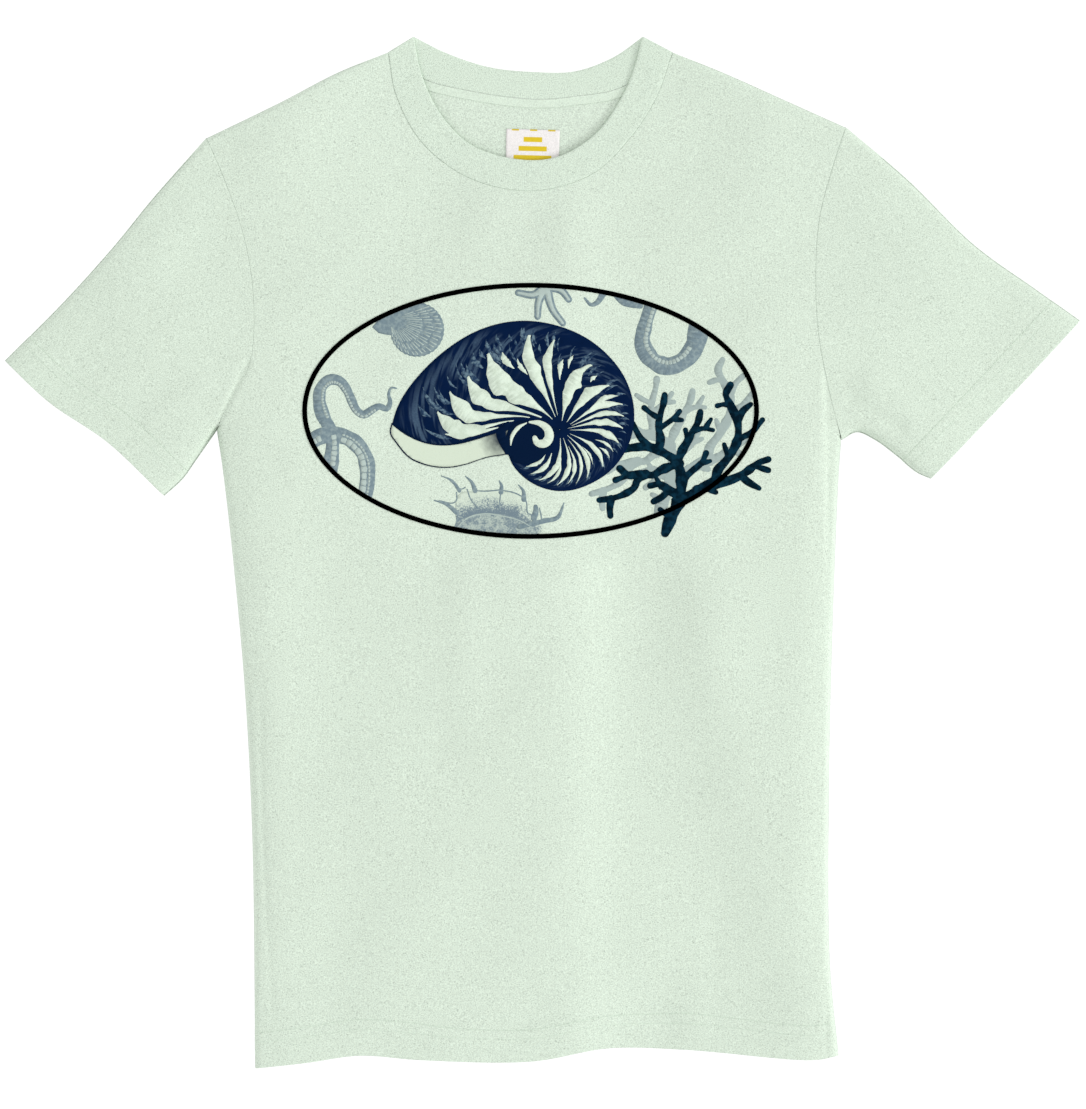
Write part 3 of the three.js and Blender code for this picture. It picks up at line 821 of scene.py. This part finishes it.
# (rim angle, width in degrees, start and end as shares of the way out, where it is widest)
FLAMES = [
    (173.4, 4.6, 0.34, 0.7, 0.6), (166.5, 6.6, 0.3, 0.79, 0.76), (157.5, 7.4, 0.22, 0.79, 0.74),
    (148, 9.4, 0.16, 0.76, 0.66), (135, 14, 0.1, 0.8, 0.5), (128, 4.4, 0.6, 0.76, 0.5),
    (122, 4, 0.52, 0.67, 0.35), (108.5, 13.6, 0.12, 0.87, 0.5), (93.5, 9, 0.14, 0.86, 0.6),
    (84.5, 6, 0.5, 0.7, 0.6), (77, 3.4, 0.64, 0.78, 0.6), (59, 23, 0.1, 0.81, 0.42), (48.5, 3, 0.66, 0.76, 0.5),
    (37.5, 10, 0.12, 0.8, 0.62), (26.5, 5, 0.46, 0.84, 0.6), (18.5, 7.4, 0.14, 0.87, 0.62),
    (8.5, 6.4, 0.16, 0.87, 0.62), (-3, 9, 0.1, 0.87, 0.62), (-18, 9.4, 0.14, 0.87, 0.7),
    (-29, 4.2, 0.55, 0.86, 0.5), (-37, 4.2, 0.66, 0.87, 0.5), (-48.5, 9.4, 0.16, 0.89, 0.65),
    (-60, 3.8, 0.44, 0.76, 0.5), (-70, 9.4, 0.14, 0.89, 0.65), (-82, 5, 0.2, 0.91, 0.6), (-91.5, 5.4, 0.3, 0.89, 0.6),
    (-101.5, 8, 0.14, 0.91, 0.65), (-111.5, 4.4, 0.5, 0.91, 0.6), (-120.5, 8.8, 0.14, 0.91, 0.65),
    (-132, 6.8, 0.42, 0.89, 0.6), (-142, 5.8, 0.44, 0.85, 0.6),
]
FLAME_BOW = 8  # degrees by which a flame's middle lies behind its ends
TIP_CURL = 4  # degrees by which the tips near the mouth curl back


def shell_flames():
    rng = np.random.default_rng(23)
    pieces = []
    for angle, width, start, end, peak in FLAMES:
        pieces += flame(angle, width, start, end, peak, rng)
    return film("print_flames", pieces, 4, pitch=4)


def shell_wear():
    """Greyer feathering past the flames' tips, where the ink looks worn."""
    rng = np.random.default_rng(31)
    pieces = []
    for angle, width, start, end, peak in FLAMES:
        for _ in range(max(1, round(width / 3.4))):
            middle = angle + rng.uniform(-0.45, 0.45) * width
            first = end - rng.uniform(0.04, 0.12)
            last = min(first + rng.uniform(0.12, 0.2), 0.94)
            pieces += flame(middle, rng.uniform(1.2, 2.6), first, last, 0.4, rng)
    for angle in np.linspace(171, 104, 17):
        first = rng.uniform(0.68, 0.84)
        last = min(first + rng.uniform(0.06, 0.13), 0.95)
        pieces += flame(angle + rng.uniform(-1.5, 1.5), rng.uniform(0.8, 2.0), first, last, 0.5, rng)
    return film("print_wear", pieces, 3.5, pitch=4)


COIL = [(-8, 92.2), (1, 90), (8, 87.4), (12.6, 85.2), (8.4, 80.6), (4.4, 72), (-2, 64.4), (-12, 61.6), (-21, 64), (-25.2, 72),
        (-25.2, 82), (-20, 90.4)]
LIP = [(-105, 90.2), (-106.2, 83.5), (-101.8, 76.4), (-92.7, 66.2), (-79, 60.6), (-66, 59.4), (-53.5, 61.6),
       (-39.5, 66.2), (-25.5, 68.6), (-23.4, 78), (-20, 90)]


def aperture_edge(count=30):
    """From the lip's tip in to the coil, along the last growth line."""
    return growth_point(178, np.linspace(1, 0.27, count))


def lip_outline():
    lower = Line(LIP, 16).at(np.linspace(0, 1, 50))
    return np.vstack([lower, aperture_edge()[::-1]])


def shell_lip():
    return film("print_lip", [lip_outline()], 2)


def shell_lines():
    pieces = stroke(LIP[:-2], (0.7, 0.9, 0.8, 0.6, 0.5, 0.6), 1.5)
    pieces += stroke(aperture_edge(12).tolist(), (1.2, 1.0, 1.0, 1.2), 1.5)
    pieces += [smooth_outline(COIL, 50)]
    shade = [(-24, 90), (-29, 84), (-27, 76), (-24.6, 69.6)]
    pieces += stroke(shade, (3, 7, 6, 3), 1.5)
    return film("print_lines", pieces, 5)


def shell_hook():
    hook = [(-9, 91), (-2, 90.2), (3.6, 86), (4.6, 80.4), (1.4, 76.2), (-3.6, 76.6), (-5.4, 80)]
    arc = [(-22.2, 74.6), (-21.2, 81), (-17, 87), (-11.2, 90.4)]
    pieces = stroke(hook, (1.5, 3.6, 5, 6.2, 6.6, 5.4, 3.4), 1.0)
    pieces += stroke(arc, (0.6, 2.6, 2.8, 0.8), 1.0)
    return film("print_hook", pieces, 6)


# Creatures in pale ink behind the shell.
ARM_ONE = [(-148.6, 56), (-146.8, 70), (-146.6, 78), (-149, 87), (-153.4, 96), (-155.8, 106), (-154.6, 115),
           (-148.6, 120.6), (-141.6, 119.6), (-136.6, 113.6), (-133.6, 107), (-130, 99.6), (-125, 96.2),
           (-119.6, 99.2), (-114, 102), (-108.6, 100.2), (-106.4, 105), (-107.4, 110.6), (-105.6, 115),
           (-102, 114.6)]
ARM_TWO = [(-166, 74), (-155, 81), (-143.1, 82), (-133.3, 78.4), (-126, 71), (-122.7, 62.6), (-122.2, 50.8),
           (-124.4, 36)]
ARM_THREE = [(112, 176), (109, 156), (106.4, 144.5), (99.4, 134.8), (87.8, 130), (76.6, 134.4), (69.8, 146),
             (71.6, 158.5), (77, 176)]
ARM_FOUR = [(-147.4, 64), (-150, 54), (-155, 42)]
ARMS = [(ARM_ONE, (10, 9.8, 9.6, 9.4, 9, 8.2, 7.2, 6.6, 6, 5.4, 4.4, 2.8, 0.9)),
        (ARM_TWO, (11, 11.2, 11.2, 11, 10.4, 10)),
        (ARM_FOUR, (11, 11, 9)),
        (ARM_THREE, (15, 14.8, 13.8, 12.8, 12, 11.4, 9.8, 8.6))]
CONCH_LINES = [
    [(-66, 52), (-61, 47), (-56.6, 44.2), (-54, 45.4)],
    [(-47, 43.2), (-40, 42.8), (-30, 43.6)],
    [(-28, 43.4), (-20, 41.8), (-13, 38.4)],
    [(-12.6, 38.6), (-11, 34), (-10.4, 27.6), (-7.4, 26.2)],
    [(-2.2, 31), (-1, 26), (-0.6, 20.4)],
    [(-66.4, 33), (-60.4, 29), (-59.8, 22), (-63, 14)],
    [(-72, 36.2), (-63, 34.4), (-60, 36.4), (-60, 42)],
    [(-52.6, 44), (-50, 37), (-45.6, 31.6)],
    [(-29, 43), (-29.8, 36), (-30.4, 31)],
]
CONCH_ARC = [(-61, 16), (-52, 24.3), (-40, 27), (-28.4, 25.6), (-16.3, 22.4), (-7, 17.3)]
HOOK = [(42.4, 181), (38.6, 175), (33.9, 173), (29.4, 177.6)]
SLIVER = [(50, 182), (57, 175.4), (68.2, 172.4)]
STAR_ARMS = [[(2.4, 186), (-6, 180), (-17, 181.4)], [(2.4, 186), (-2.6, 175), (-3.4, 164.6)],
             [(2.4, 186), (7, 170), (14.2, 160)], [(2.4, 186), (13, 183), (18.4, 176.6)]]
FAN_HINGE = np.array([-106.2, 162.6])
FAN_CENTRE = np.array([-87.6, 155.6])
FAN_REACH = 18.9
SPINES = [([(-58, 43), (-63, 50), (-71, 53.6)], (2.6, 1.6, 0.5)), ([(-47, 43), (-49.4, 49), (-54, 53.4)], (3.4, 2.2, 0.6)),
          ([(-29, 42), (-28.6, 46.6), (-30.2, 50)], (3.4, 2.4, 0.8)), ([(-13, 37), (-13.4, 43), (-17, 47.4)], (3.6, 2.2, 0.6)),
          ([(-60, 28), (-67, 33.6), (-75.6, 36.4)], (3.4, 2.2, 0.7)), ([(0, 22), (10.4, 24.4), (15, 34.6)], (3.4, 3, 0.8)),
          ([(-6, 24), (-4.6, 29), (-4.8, 32)], (4.4, 4.2, 3)), ([(-16, 18), (-6, 20.4), (4, 22.4)], (3.6, 3.6, 3))]


def fan_edge(angles):
    """Points of the scallop's rippled edge at angles round its middle."""
    angles = np.radians(angles)
    reach = FAN_REACH * (1 + 0.012 * np.cos(34 * angles))
    return FAN_CENTRE + np.stack([reach * np.cos(angles), reach * np.sin(angles)], -1)


def fan_outline():
    """The scallop: a rippled fan, with one ear at its hinge."""
    ear = [(-105.6, 151.6), (-110, 152.2), (-114.4, 153.2), (-119, 157.4), (-115, 162), (-108, 169)]
    return np.vstack([fan_edge(np.linspace(100, -162, 110)), ear, [(-98, 176)]])


def creatures():
    rng = np.random.default_rng(13)
    pieces = [fan_outline()]
    for points, widths in ARMS:
        pieces += bumpy_stroke(points, widths, rng, 0.09, 5, 1.8)
    pieces += stroke(HOOK, (5, 3.8, 2.6, 1.4), 1.5)
    pieces += stroke(SLIVER, (5, 6, 4.4), 1.5)
    for arm in STAR_ARMS:
        pieces += stroke(arm, (7, 5.6, 4.6), 1.5)
    for points, widths in SPINES:
        pieces += stroke(points, widths, 1.2)
    for points in CONCH_LINES:
        pieces += stroke(points, (0.8, 0.9, 0.8), 1.5)
    return film("print_creatures", pieces, 1, INSIDE_OVAL)


def conch_body():
    """The conch between its spines, shaded by its material."""
    outline = [(-62, 8), (-60, 20), (-61, 30), (-58, 41), (-47, 43), (-30, 43.4), (-13, 38.4), (-9, 27.6),
               (-3, 25.4), (3, 20), (-4, 12), (-20, 6), (-40, 4)]
    return film("print_conch", [smooth_outline(outline, 70)], 0.5, INSIDE_OVAL)


def cells(rng, path, side_shift, width, start, end, count, gap=0.16):
    """A row of pale cells along an arm, beside its middle line, with thin gaps between them."""
    line = Line(path, 12)
    bounds = np.linspace(start, end, count + 1)
    shifts = np.linspace(side_shift[0], side_shift[1], count)
    widths = np.linspace(width[0], width[1], count) * rng.uniform(0.82, 1.14, count)
    pieces = []
    for k in range(count):
        near = bounds[k] + gap * (bounds[k + 1] - bounds[k])
        far = bounds[k + 1]
        middle = (near + far) / 2
        inner, outer = shifts[k] - widths[k] / 2, shifts[k] + widths[k] / 2
        corners = [(near, inner), (middle, inner - 0.25), (far, inner), (far, outer), (middle, outer + 0.4),
                   (near, outer)]
        if side_shift[0] < 0:
            corners = [(place, 2 * shifts[k] - aside) for place, aside in corners]
        pieces.append(np.array([line.beside(place, np.array(aside)) for place, aside in corners]))
    return pieces


def pale_details():
    """Paler marks on the creatures: the arms' undersides, the scallop's ribs, light in the conch."""
    rng = np.random.default_rng(5)
    pieces = cells(rng, ARM_ONE, (2.4, 1.2), (1.6, 1.3), 0.26, 0.8, 34)
    pieces += cells(rng, ARM_ONE, (1.3, 1.3), (3.6, 3), 0.03, 0.18, 6, 0.1)
    pieces += cells(rng, ARM_TWO, (-0.9, -1.2), (1.0, 1.0), 0.34, 0.99, 22)
    pieces += cells(rng, ARM_TWO, (2.4, 2.4), (3.6, 3.6), 0.34, 0.99, 11, 0.08)
    pieces += cells(rng, ARM_TWO, (1.2, 1.2), (3.4, 3.4), 0.02, 0.16, 3, 0.1)
    pieces += cells(rng, ARM_THREE, (2.6, 2.2), (2.6, 2.4), 0.3, 0.97, 24, 0.12)
    for angle in np.linspace(60, -152, 23):
        edge = fan_edge(angle + rng.uniform(-1.2, 1.2))
        for start, end, width in ((0.3, 0.6, 0.45), (0.64, 0.8, 0.7), (0.83, 0.96, 0.8)):
            near, far = start + rng.uniform(-0.04, 0.03), end + rng.uniform(-0.03, 0.02)
            ends = [tuple(FAN_HINGE + (edge - FAN_HINGE) * share) for share in (near, far)]
            pieces += stroke(ends, (0.6 * width, width + rng.uniform(-0.1, 0.35)), 2, caps=False)
    for arm in STAR_ARMS:
        pieces += stroke(arm, (4.4, 2.8, 1.6), 1.5)
    pieces += stroke(CONCH_ARC, (0.5, 1, 1.1, 0.9, 0.8, 0.5), 1.5)
    return film("print_pale_marks", pieces, 2, INSIDE_OVAL)


# ---- Materials ----
def shown(*srgb):
    """The surface colour that this studio light shows as an 8-bit screen colour."""
    shares = [value / 255 for value in srgb]
    light = [v / 12.92 if v <= 0.04045 else ((v + 0.055) / 1.055) ** 2.4 for v in shares]
    return tuple(v / STUDIO_LIGHT for v in light) + (1.0,)


class Material:
    """A principled material and short ways to add nodes to it."""

    def __init__(self, name, roughness=0.9, sheen=0.0, specular=0.3):
        self.material = bpy.data.materials.new(name)
        self.material.use_nodes = True
        self.nodes = self.material.node_tree.nodes
        self.links = self.material.node_tree.links
        self.shader = self.nodes["Principled BSDF"]
        self.shader.inputs["Roughness"].default_value = roughness
        self.shader.inputs["Sheen Weight"].default_value = sheen
        self.shader.inputs["Sheen Roughness"].default_value = 0.5
        self.shader.inputs["Specular IOR Level"].default_value = specular
        coordinates = self.nodes.new("ShaderNodeTexCoord")
        self.place = coordinates.outputs["Object"]

    def put(self, kind, links=(), **values):
        node = self.nodes.new(kind)
        for name, value in values.items():
            setattr(node, name, value)
        for socket, value in dict(links).items():
            target = node.inputs[socket]
            if isinstance(value, bpy.types.NodeSocket):
                self.links.new(value, target)
            else:
                target.default_value = value
        return node

    def noise(self, size, detail=2.0, place=None, stretch=None):
        """Noise with features of about a size in metres."""
        place = place or self.place
        if stretch:
            place = self.put("ShaderNodeMapping", {"Vector": place, "Scale": stretch}).outputs[0]
        node = self.put("ShaderNodeTexNoise", {"Vector": place, "Scale": 1 / size, "Detail": detail})
        return node.outputs["Fac"]

    def math(self, operation, a, b=0.0, c=0.0):
        return self.put("ShaderNodeMath", {0: a, 1: b, 2: c}, operation=operation).outputs[0]

    def spread(self, value, low, high, to_low=0.0, to_high=1.0):
        links = {"Value": value, "From Min": low, "From Max": high, "To Min": to_low, "To Max": to_high}
        return self.put("ShaderNodeMapRange", links).outputs[0]

    def mix(self, share, first, second):
        node = self.put("ShaderNodeMix", {0: share, 6: first, 7: second}, data_type="RGBA")
        return node.outputs[2]

    def shaded(self, colour, share):
        """The colour made lighter or darker by a share that is 1 for no change."""
        node = self.put("ShaderNodeVectorMath", {0: colour}, operation="SCALE")
        if isinstance(share, bpy.types.NodeSocket):
            self.links.new(share, node.inputs["Scale"])
        return node.outputs[0]

    def colour(self, socket):
        self.links.new(socket, self.shader.inputs["Base Color"])

    def bump(self, height, strength, distance):
        node = self.put("ShaderNodeBump", {"Height": height, "Strength": strength, "Distance": distance})
        self.links.new(node.outputs[0], self.shader.inputs["Normal"])

    def waves(self, place, size, direction, distortion=0.0):
        """Parallel bands with a period of a size in metres."""
        links = {"Vector": place, "Scale": math.pi / 10 / size, "Distortion": distortion}
        return self.put("ShaderNodeTexWave", links, bands_direction=direction).outputs["Fac"]


STUDIO_LIGHT = 1.146  # how much brighter than its own colour a flat surface looks
FABRIC = (0.601, 0.693, 0.589, 1)


def heather(m, base, strength):
    """Melange yarn: fine speckle, slubs of a few millimetres and very slow variation."""
    fine = m.spread(m.noise(0.00075, 0.0), 0.25, 0.75, 1 - 0.32 * strength, 1 + 0.32 * strength)
    slubs = m.spread(m.noise(0.0009, 0.0), 0.64, 0.8, 1, 1 - 0.6 * strength)
    slow = m.spread(m.noise(0.09, 1.0), 0.3, 0.7, 0.992, 1.008)
    drift = m.mix(m.spread(m.noise(0.11, 1.0), 0.35, 0.65), (1.006, 0.998, 0.988, 1), (0.994, 1.002, 1.012, 1))
    tint = m.mix(m.noise(0.0012, 1.0), tuple(v * k for v, k in zip(base[:3], (1.015, 1.0, 0.985))) + (1.0,),
                 tuple(v * k for v, k in zip(base[:3], (0.985, 1.0, 1.015))) + (1.0,))
    grain = m.shaded(tint, m.math("MULTIPLY", m.math("MULTIPLY", fine, slubs), slow))
    return m.shaded(grain, drift)


def jersey_material(name, base=FABRIC, turn=0.0):
    """Single jersey: rows of small loops, with soft heathered yarn."""
    m = Material(name, roughness=0.95, sheen=0.12, specular=0.15)
    m.colour(heather(m, base, 0.45))
    turned = m.put("ShaderNodeMapping", {"Vector": m.place, "Rotation": (0, 0, turn)}).outputs[0]
    wales = m.waves(turned, 0.0009, "X", 0.6)
    courses = m.waves(turned, 0.0007, "Y", 0.6)
    fuzz = m.noise(0.0006, 2.0)
    height = m.math("ADD", m.math("MULTIPLY", wales, courses), m.math("MULTIPLY", fuzz, 0.7))
    m.bump(height, 0.35, 0.00022)
    return m.material


def rib_material():
    """Rib knit: raised wales across the band, with shade between them from the bump and painted shade in the colour.
    """
    m = Material("rib_knit", roughness=0.95, sheen=0.12, specular=0.15)
    uv = m.put("ShaderNodeUVMap", uv_map="cloth").outputs[0]
    wales = m.waves(uv, 0.0014, "X", 0.3)
    base = (0.592, 0.688, 0.582, 1)
    # painted shade: the colour is made up to 1% darker between the wales and a little lighter on them
    m.colour(m.shaded(heather(m, base, 0.45), m.spread(wales, 0, 1, 0.99, 1.008)))
    height = m.math("ADD", wales, m.math("MULTIPLY", m.noise(0.0007, 2.0), 0.6))
    m.bump(height, 0.35, 0.00025)
    return m.material


def plain_cloth(name, base, weave, strength=0.08, roughness=0.9):
    m = Material(name, roughness=roughness, sheen=0.08, specular=0.2)
    m.colour(heather(m, base, strength))
    grain = m.math("MULTIPLY", m.waves(m.place, weave, "X", 0.3), m.waves(m.place, weave, "Y", 0.3))
    m.bump(grain, 0.4, 0.00015)
    return m.material


def label_material():
    """Woven satin with three mustard bars and no lettering."""
    m = Material("label_satin", roughness=0.55, sheen=0.1, specular=0.4)
    uv = m.put("ShaderNodeUVMap", uv_map="cloth").outputs[0]
    split = m.put("ShaderNodeSeparateXYZ", {0: uv})
    across, up = split.outputs[0], split.outputs[1]

    def bar(value, centre, half):
        away = m.math("ABSOLUTE", m.math("SUBTRACT", value, centre))
        return m.spread(away, half, half + 0.008, 1, 0)

    bars = 0.0
    for height, half_width in ((0.80, 0.17), (0.62, 0.26), (0.44, 0.35)):
        one = m.math("MULTIPLY", bar(up, height, 0.045), bar(across, 0.5, half_width))
        bars = m.math("MAXIMUM", bars, one)
    tacks = m.math("MULTIPLY", bar(up, 0.985, 0.012), m.spread(m.waves(uv, 0.34, "X", 0.0), 0.6, 0.7))
    bars = m.math("MAXIMUM", bars, tacks)
    ground = heather(m, shown(243, 239, 237), 0.2)
    m.colour(m.mix(bars, ground, heather(m, shown(225, 196, 6), 0.1)))
    threads = m.waves(m.place, 0.0005, "Y", 0.2)
    m.bump(threads, 0.4, 0.0001)
    return m.material


def ink(name, base, strength, second=None, size=0.004, roughness=0.8):
    """Screen-print ink that lets some of the yarn's grain through."""
    m = Material(name, roughness=roughness, specular=0.0)
    colour = heather(m, base, strength)
    if second:
        patch = m.spread(m.noise(size, 3.0), 0.42, 0.62)
        colour = m.mix(patch, colour, heather(m, second, strength))
    m.colour(colour)
    m.bump(m.noise(0.0008, 2.0), 0.25, 0.00012)
    return m.material


def shell_material():
    """Deep blue ink, worn into paler strokes along the growth lines near the rim."""
    m = Material("ink_shell", roughness=0.85, specular=0.0)
    uv = m.put("ShaderNodeUVMap", uv_map="shell").outputs[0]
    split = m.put("ShaderNodeSeparateXYZ", {0: uv})
    lag = m.math("MULTIPLY", m.math("MAXIMUM", m.math("SUBTRACT", split.outputs[1], 0.5), 0.0), -0.3)
    swept = m.put("ShaderNodeCombineXYZ", {0: m.math("ADD", split.outputs[0], lag), 1: split.outputs[1]})
    uv = swept.outputs[0]
    strokes = m.noise(1.0, 6.0, uv, (90, 7, 1))
    patches = m.noise(1.0, 3.0, uv, (17, 4, 1))
    fine = m.noise(0.0009, 2.0)
    rim = m.math("MULTIPLY", m.spread(split.outputs[1], 0.5, 0.78), m.spread(split.outputs[1], 0.99, 0.9))
    upper = m.spread(split.outputs[0], 0.6, 0.4, 0.3, 1)
    worn = m.math("MULTIPLY", m.spread(strokes, 0.47, 0.57), m.spread(patches, 0.42, 0.56))
    worn = m.math("MULTIPLY", worn, m.spread(fine, 0.2, 0.6, 0.55, 1))
    worn = m.math("MULTIPLY", m.math("MULTIPLY", worn, rim), upper)
    deep = m.mix(m.noise(0.006, 2.0), heather(m, shown(7, 24, 52), 0.15), shown(10, 31, 68))
    m.colour(m.mix(m.math("MULTIPLY", worn, 0.7), deep, shown(84, 108, 130)))
    m.bump(fine, 0.2, 0.00012)
    return m.material


def lip_material():
    """Pale lip with a grey shade where it turns in beside the coil."""
    m = Material("ink_lip", roughness=0.85, specular=0.05)
    offset = m.put("ShaderNodeVectorMath", {0: m.place, 1: (-0.0285, 0.0795, 0)}, operation="SUBTRACT")
    flat = m.put("ShaderNodeVectorMath", {0: offset.outputs[0], 1: (1, 1, 0)}, operation="MULTIPLY")
    reach = m.put("ShaderNodeVectorMath", {0: flat.outputs[0]}, operation="LENGTH").outputs["Value"]
    wobble = m.math("ADD", reach, m.math("MULTIPLY", m.noise(0.004, 3.0), 0.008))
    shade = m.spread(wobble, 0.007, 0.021, 0.92, 0)
    m.colour(m.mix(shade, heather(m, shown(214, 227, 207), 0.06), shown(20, 34, 56)))
    return m.material


def conch_material():
    """Grey stippling, dense above an arc and gone towards the spines, and mottled below it."""
    m = Material("ink_conch", roughness=0.85, specular=0.05)
    offset = m.put("ShaderNodeVectorMath", {0: m.place, 1: (-0.036, 0.004, 0)}, operation="SUBTRACT")
    flat = m.put("ShaderNodeVectorMath", {0: offset.outputs[0], 1: (1 / 0.036, 1 / 0.023, 0)},
                 operation="MULTIPLY")
    reach = m.put("ShaderNodeVectorMath", {0: flat.outputs[0]}, operation="LENGTH").outputs["Value"]
    drift = m.math("MULTIPLY", m.math("SUBTRACT", m.noise(0.006, 3.0), 0.5), 0.45)
    dots = m.math("MULTIPLY", m.math("SUBTRACT", m.noise(0.0009, 2.0), 0.5), 1.1)
    across = m.put("ShaderNodeSeparateXYZ", {0: flat.outputs[0]}).outputs[0]
    ends = m.spread(m.math("ABSOLUTE", across), 0.5, 1.0, 0, 0.4)
    amount = m.math("ADD", m.math("ADD", reach, ends), m.math("ADD", drift, dots))
    stipple = m.spread(amount, 1.18, 1.48, 1, 0.05)
    mottle = m.spread(m.math("ADD", m.noise(0.0011, 2.0), m.noise(0.005, 2.0)), 0.84, 1.16, 0.4, 0.95)
    shade = m.mix(m.spread(reach, 0.98, 1.02), mottle, stipple)
    m.colour(m.mix(shade, heather(m, shown(214, 228, 211), 0.25), shown(118, 136, 146)))
    return m.material


# ---- The shirt ----
def finished(obj, material, slot, *nodes):
    obj.data.materials.append(material)
    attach(obj, "root")
    if nodes:
        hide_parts(*nodes)
    return obj


def camera_and_light():
    """The camera looks straight down, as a photograph of a shirt on a table is taken."""
    camera_data = bpy.data.cameras.new("camera")
    camera_data.sensor_fit = "HORIZONTAL"
    camera_data.sensor_width = 36
    camera_data.lens = 283.7
    camera = bpy.data.objects.new("camera", camera_data)
    camera.location = (0.00035, -0.0014, 6.0)
    bpy.context.collection.objects.link(camera)
    bpy.context.scene.camera = camera
    for name, place, size, power in (("key", (14.4, -1.8, 6.4), 4.6, 1080),):
        data = bpy.data.lights.new(name, "AREA")
        data.shape = "DISK"
        data.size = size
        data.energy = power
        lamp = bpy.data.objects.new(name, data)
        lamp.location = place
        away = np.array(place) / np.linalg.norm(place)
        lamp.rotation_euler = (math.acos(away[2]), 0, math.atan2(away[1], away[0]) + math.pi / 2)
        bpy.context.collection.objects.link(lamp)
    world = bpy.data.worlds.new("studio")
    world.use_nodes = True
    world.node_tree.nodes["Background"].inputs["Color"].default_value = (1, 1, 1, 1)
    world.node_tree.nodes["Background"].inputs["Strength"].default_value = 1.03
    bpy.context.scene.world = world
    bpy.context.scene.view_settings.view_transform = "Standard"


def floor():
    m = Material("floor_paper", roughness=0.9, specular=0.1)
    shade = m.spread(m.noise(0.3, 1.0), 0.3, 0.7, 0.995, 1.0)
    m.colour(m.shaded((0.15, 0.15, 0.15), shade))
    m.shader.inputs["Emission Color"].default_value = (1, 1, 1, 1)
    m.shader.inputs["Emission Strength"].default_value = 0.94
    reach, drop = 3000, -0.2
    corners = [(-reach, -reach, drop), (reach, -reach, drop), (reach, reach, drop), (-reach, reach, drop)]
    mesh = bpy.data.meshes.new("floor")
    mesh.from_pydata((np.array(corners) * MM).tolist(), [], [(0, 1, 2, 3)])
    ground = bpy.data.objects.new("floor", mesh)
    bpy.context.collection.objects.link(ground)
    mesh.materials.append(m.material)


camera_and_light()
floor()

front = finished(body_panel("front", 2.4, 3.4), jersey_material("front_jersey"), "jersey", "front_panel")
back = finished(body_panel("back", 4.0, 5.0), jersey_material("back_jersey"), "jersey", "back_panel")
sleeve_left = finished(sleeve(left, "sleeve_left_cloth"), jersey_material("left_jersey", turn=-0.7),
                       "jersey", "sleeve_left")
sleeve_right = finished(sleeve(right, "sleeve_right_cloth"), jersey_material("right_jersey", turn=0.75),
                        "jersey", "sleeve_right")
rib = finished(neck_rib(), rib_material(), "rib", "neck_rib")
tape = finished(neck_tape(), plain_cloth("tape_twill", shown(219, 234, 217), 0.0008, 0.3), "neck_tape", "neck_tape")
label = finished(neck_label(), label_material(), "label", "neck_label")
thread = plain_cloth("thread_cotton", shown(213, 229, 212), 0.0006, 0.05, 0.7)
hem_threads = finished(hem_stitches(), thread, "thread", "hem_stitching")
cuff_left = finished(cuff_stitches(left, "cuff_left_threads"), thread, "thread", "cuff_left_stitching")
cuff_right = finished(cuff_stitches(right, "cuff_right_threads"), thread, "thread", "cuff_right_stitching")

prints = [
    finished(oval_ring(), ink("ink_black", shown(1, 1, 1), 0.1), "print_ink"),
    finished(coral("print_coral", 2), ink("ink_teal", shown(7, 26, 38), 0.15, shown(14, 48, 66)), "print_ink"),
    finished(coral("print_ghost", 0, True, INSIDE_OVAL), ink("ink_ghost", shown(165, 181, 177), 0.1),
             "print_ink"),
    finished(shell_body(), shell_material(), "print_ink"),
    finished(shell_wear(), ink("ink_wear", shown(40, 62, 90), 0.3, shown(104, 128, 142), 0.0022), "print_ink"),
    finished(shell_flames(), ink("ink_flames", shown(221, 236, 219), 0.08, shown(206, 221, 203), 0.005),
             "print_ink"),
    finished(shell_lip(), lip_material(), "print_ink"),
    finished(shell_lines(), ink("ink_lines", shown(9, 27, 55), 0.15), "print_ink"),
    finished(shell_hook(), ink("ink_hook", shown(219, 233, 215), 0.08), "print_ink"),
    finished(creatures(), ink("ink_grey", shown(121, 140, 148), 0.14, shown(142, 160, 163), 0.0025), "print_ink"),
    finished(conch_body(), conch_material(), "print_ink"),
    finished(pale_details(), ink("ink_pale", shown(180, 196, 190), 0.1), "print_ink"),
]
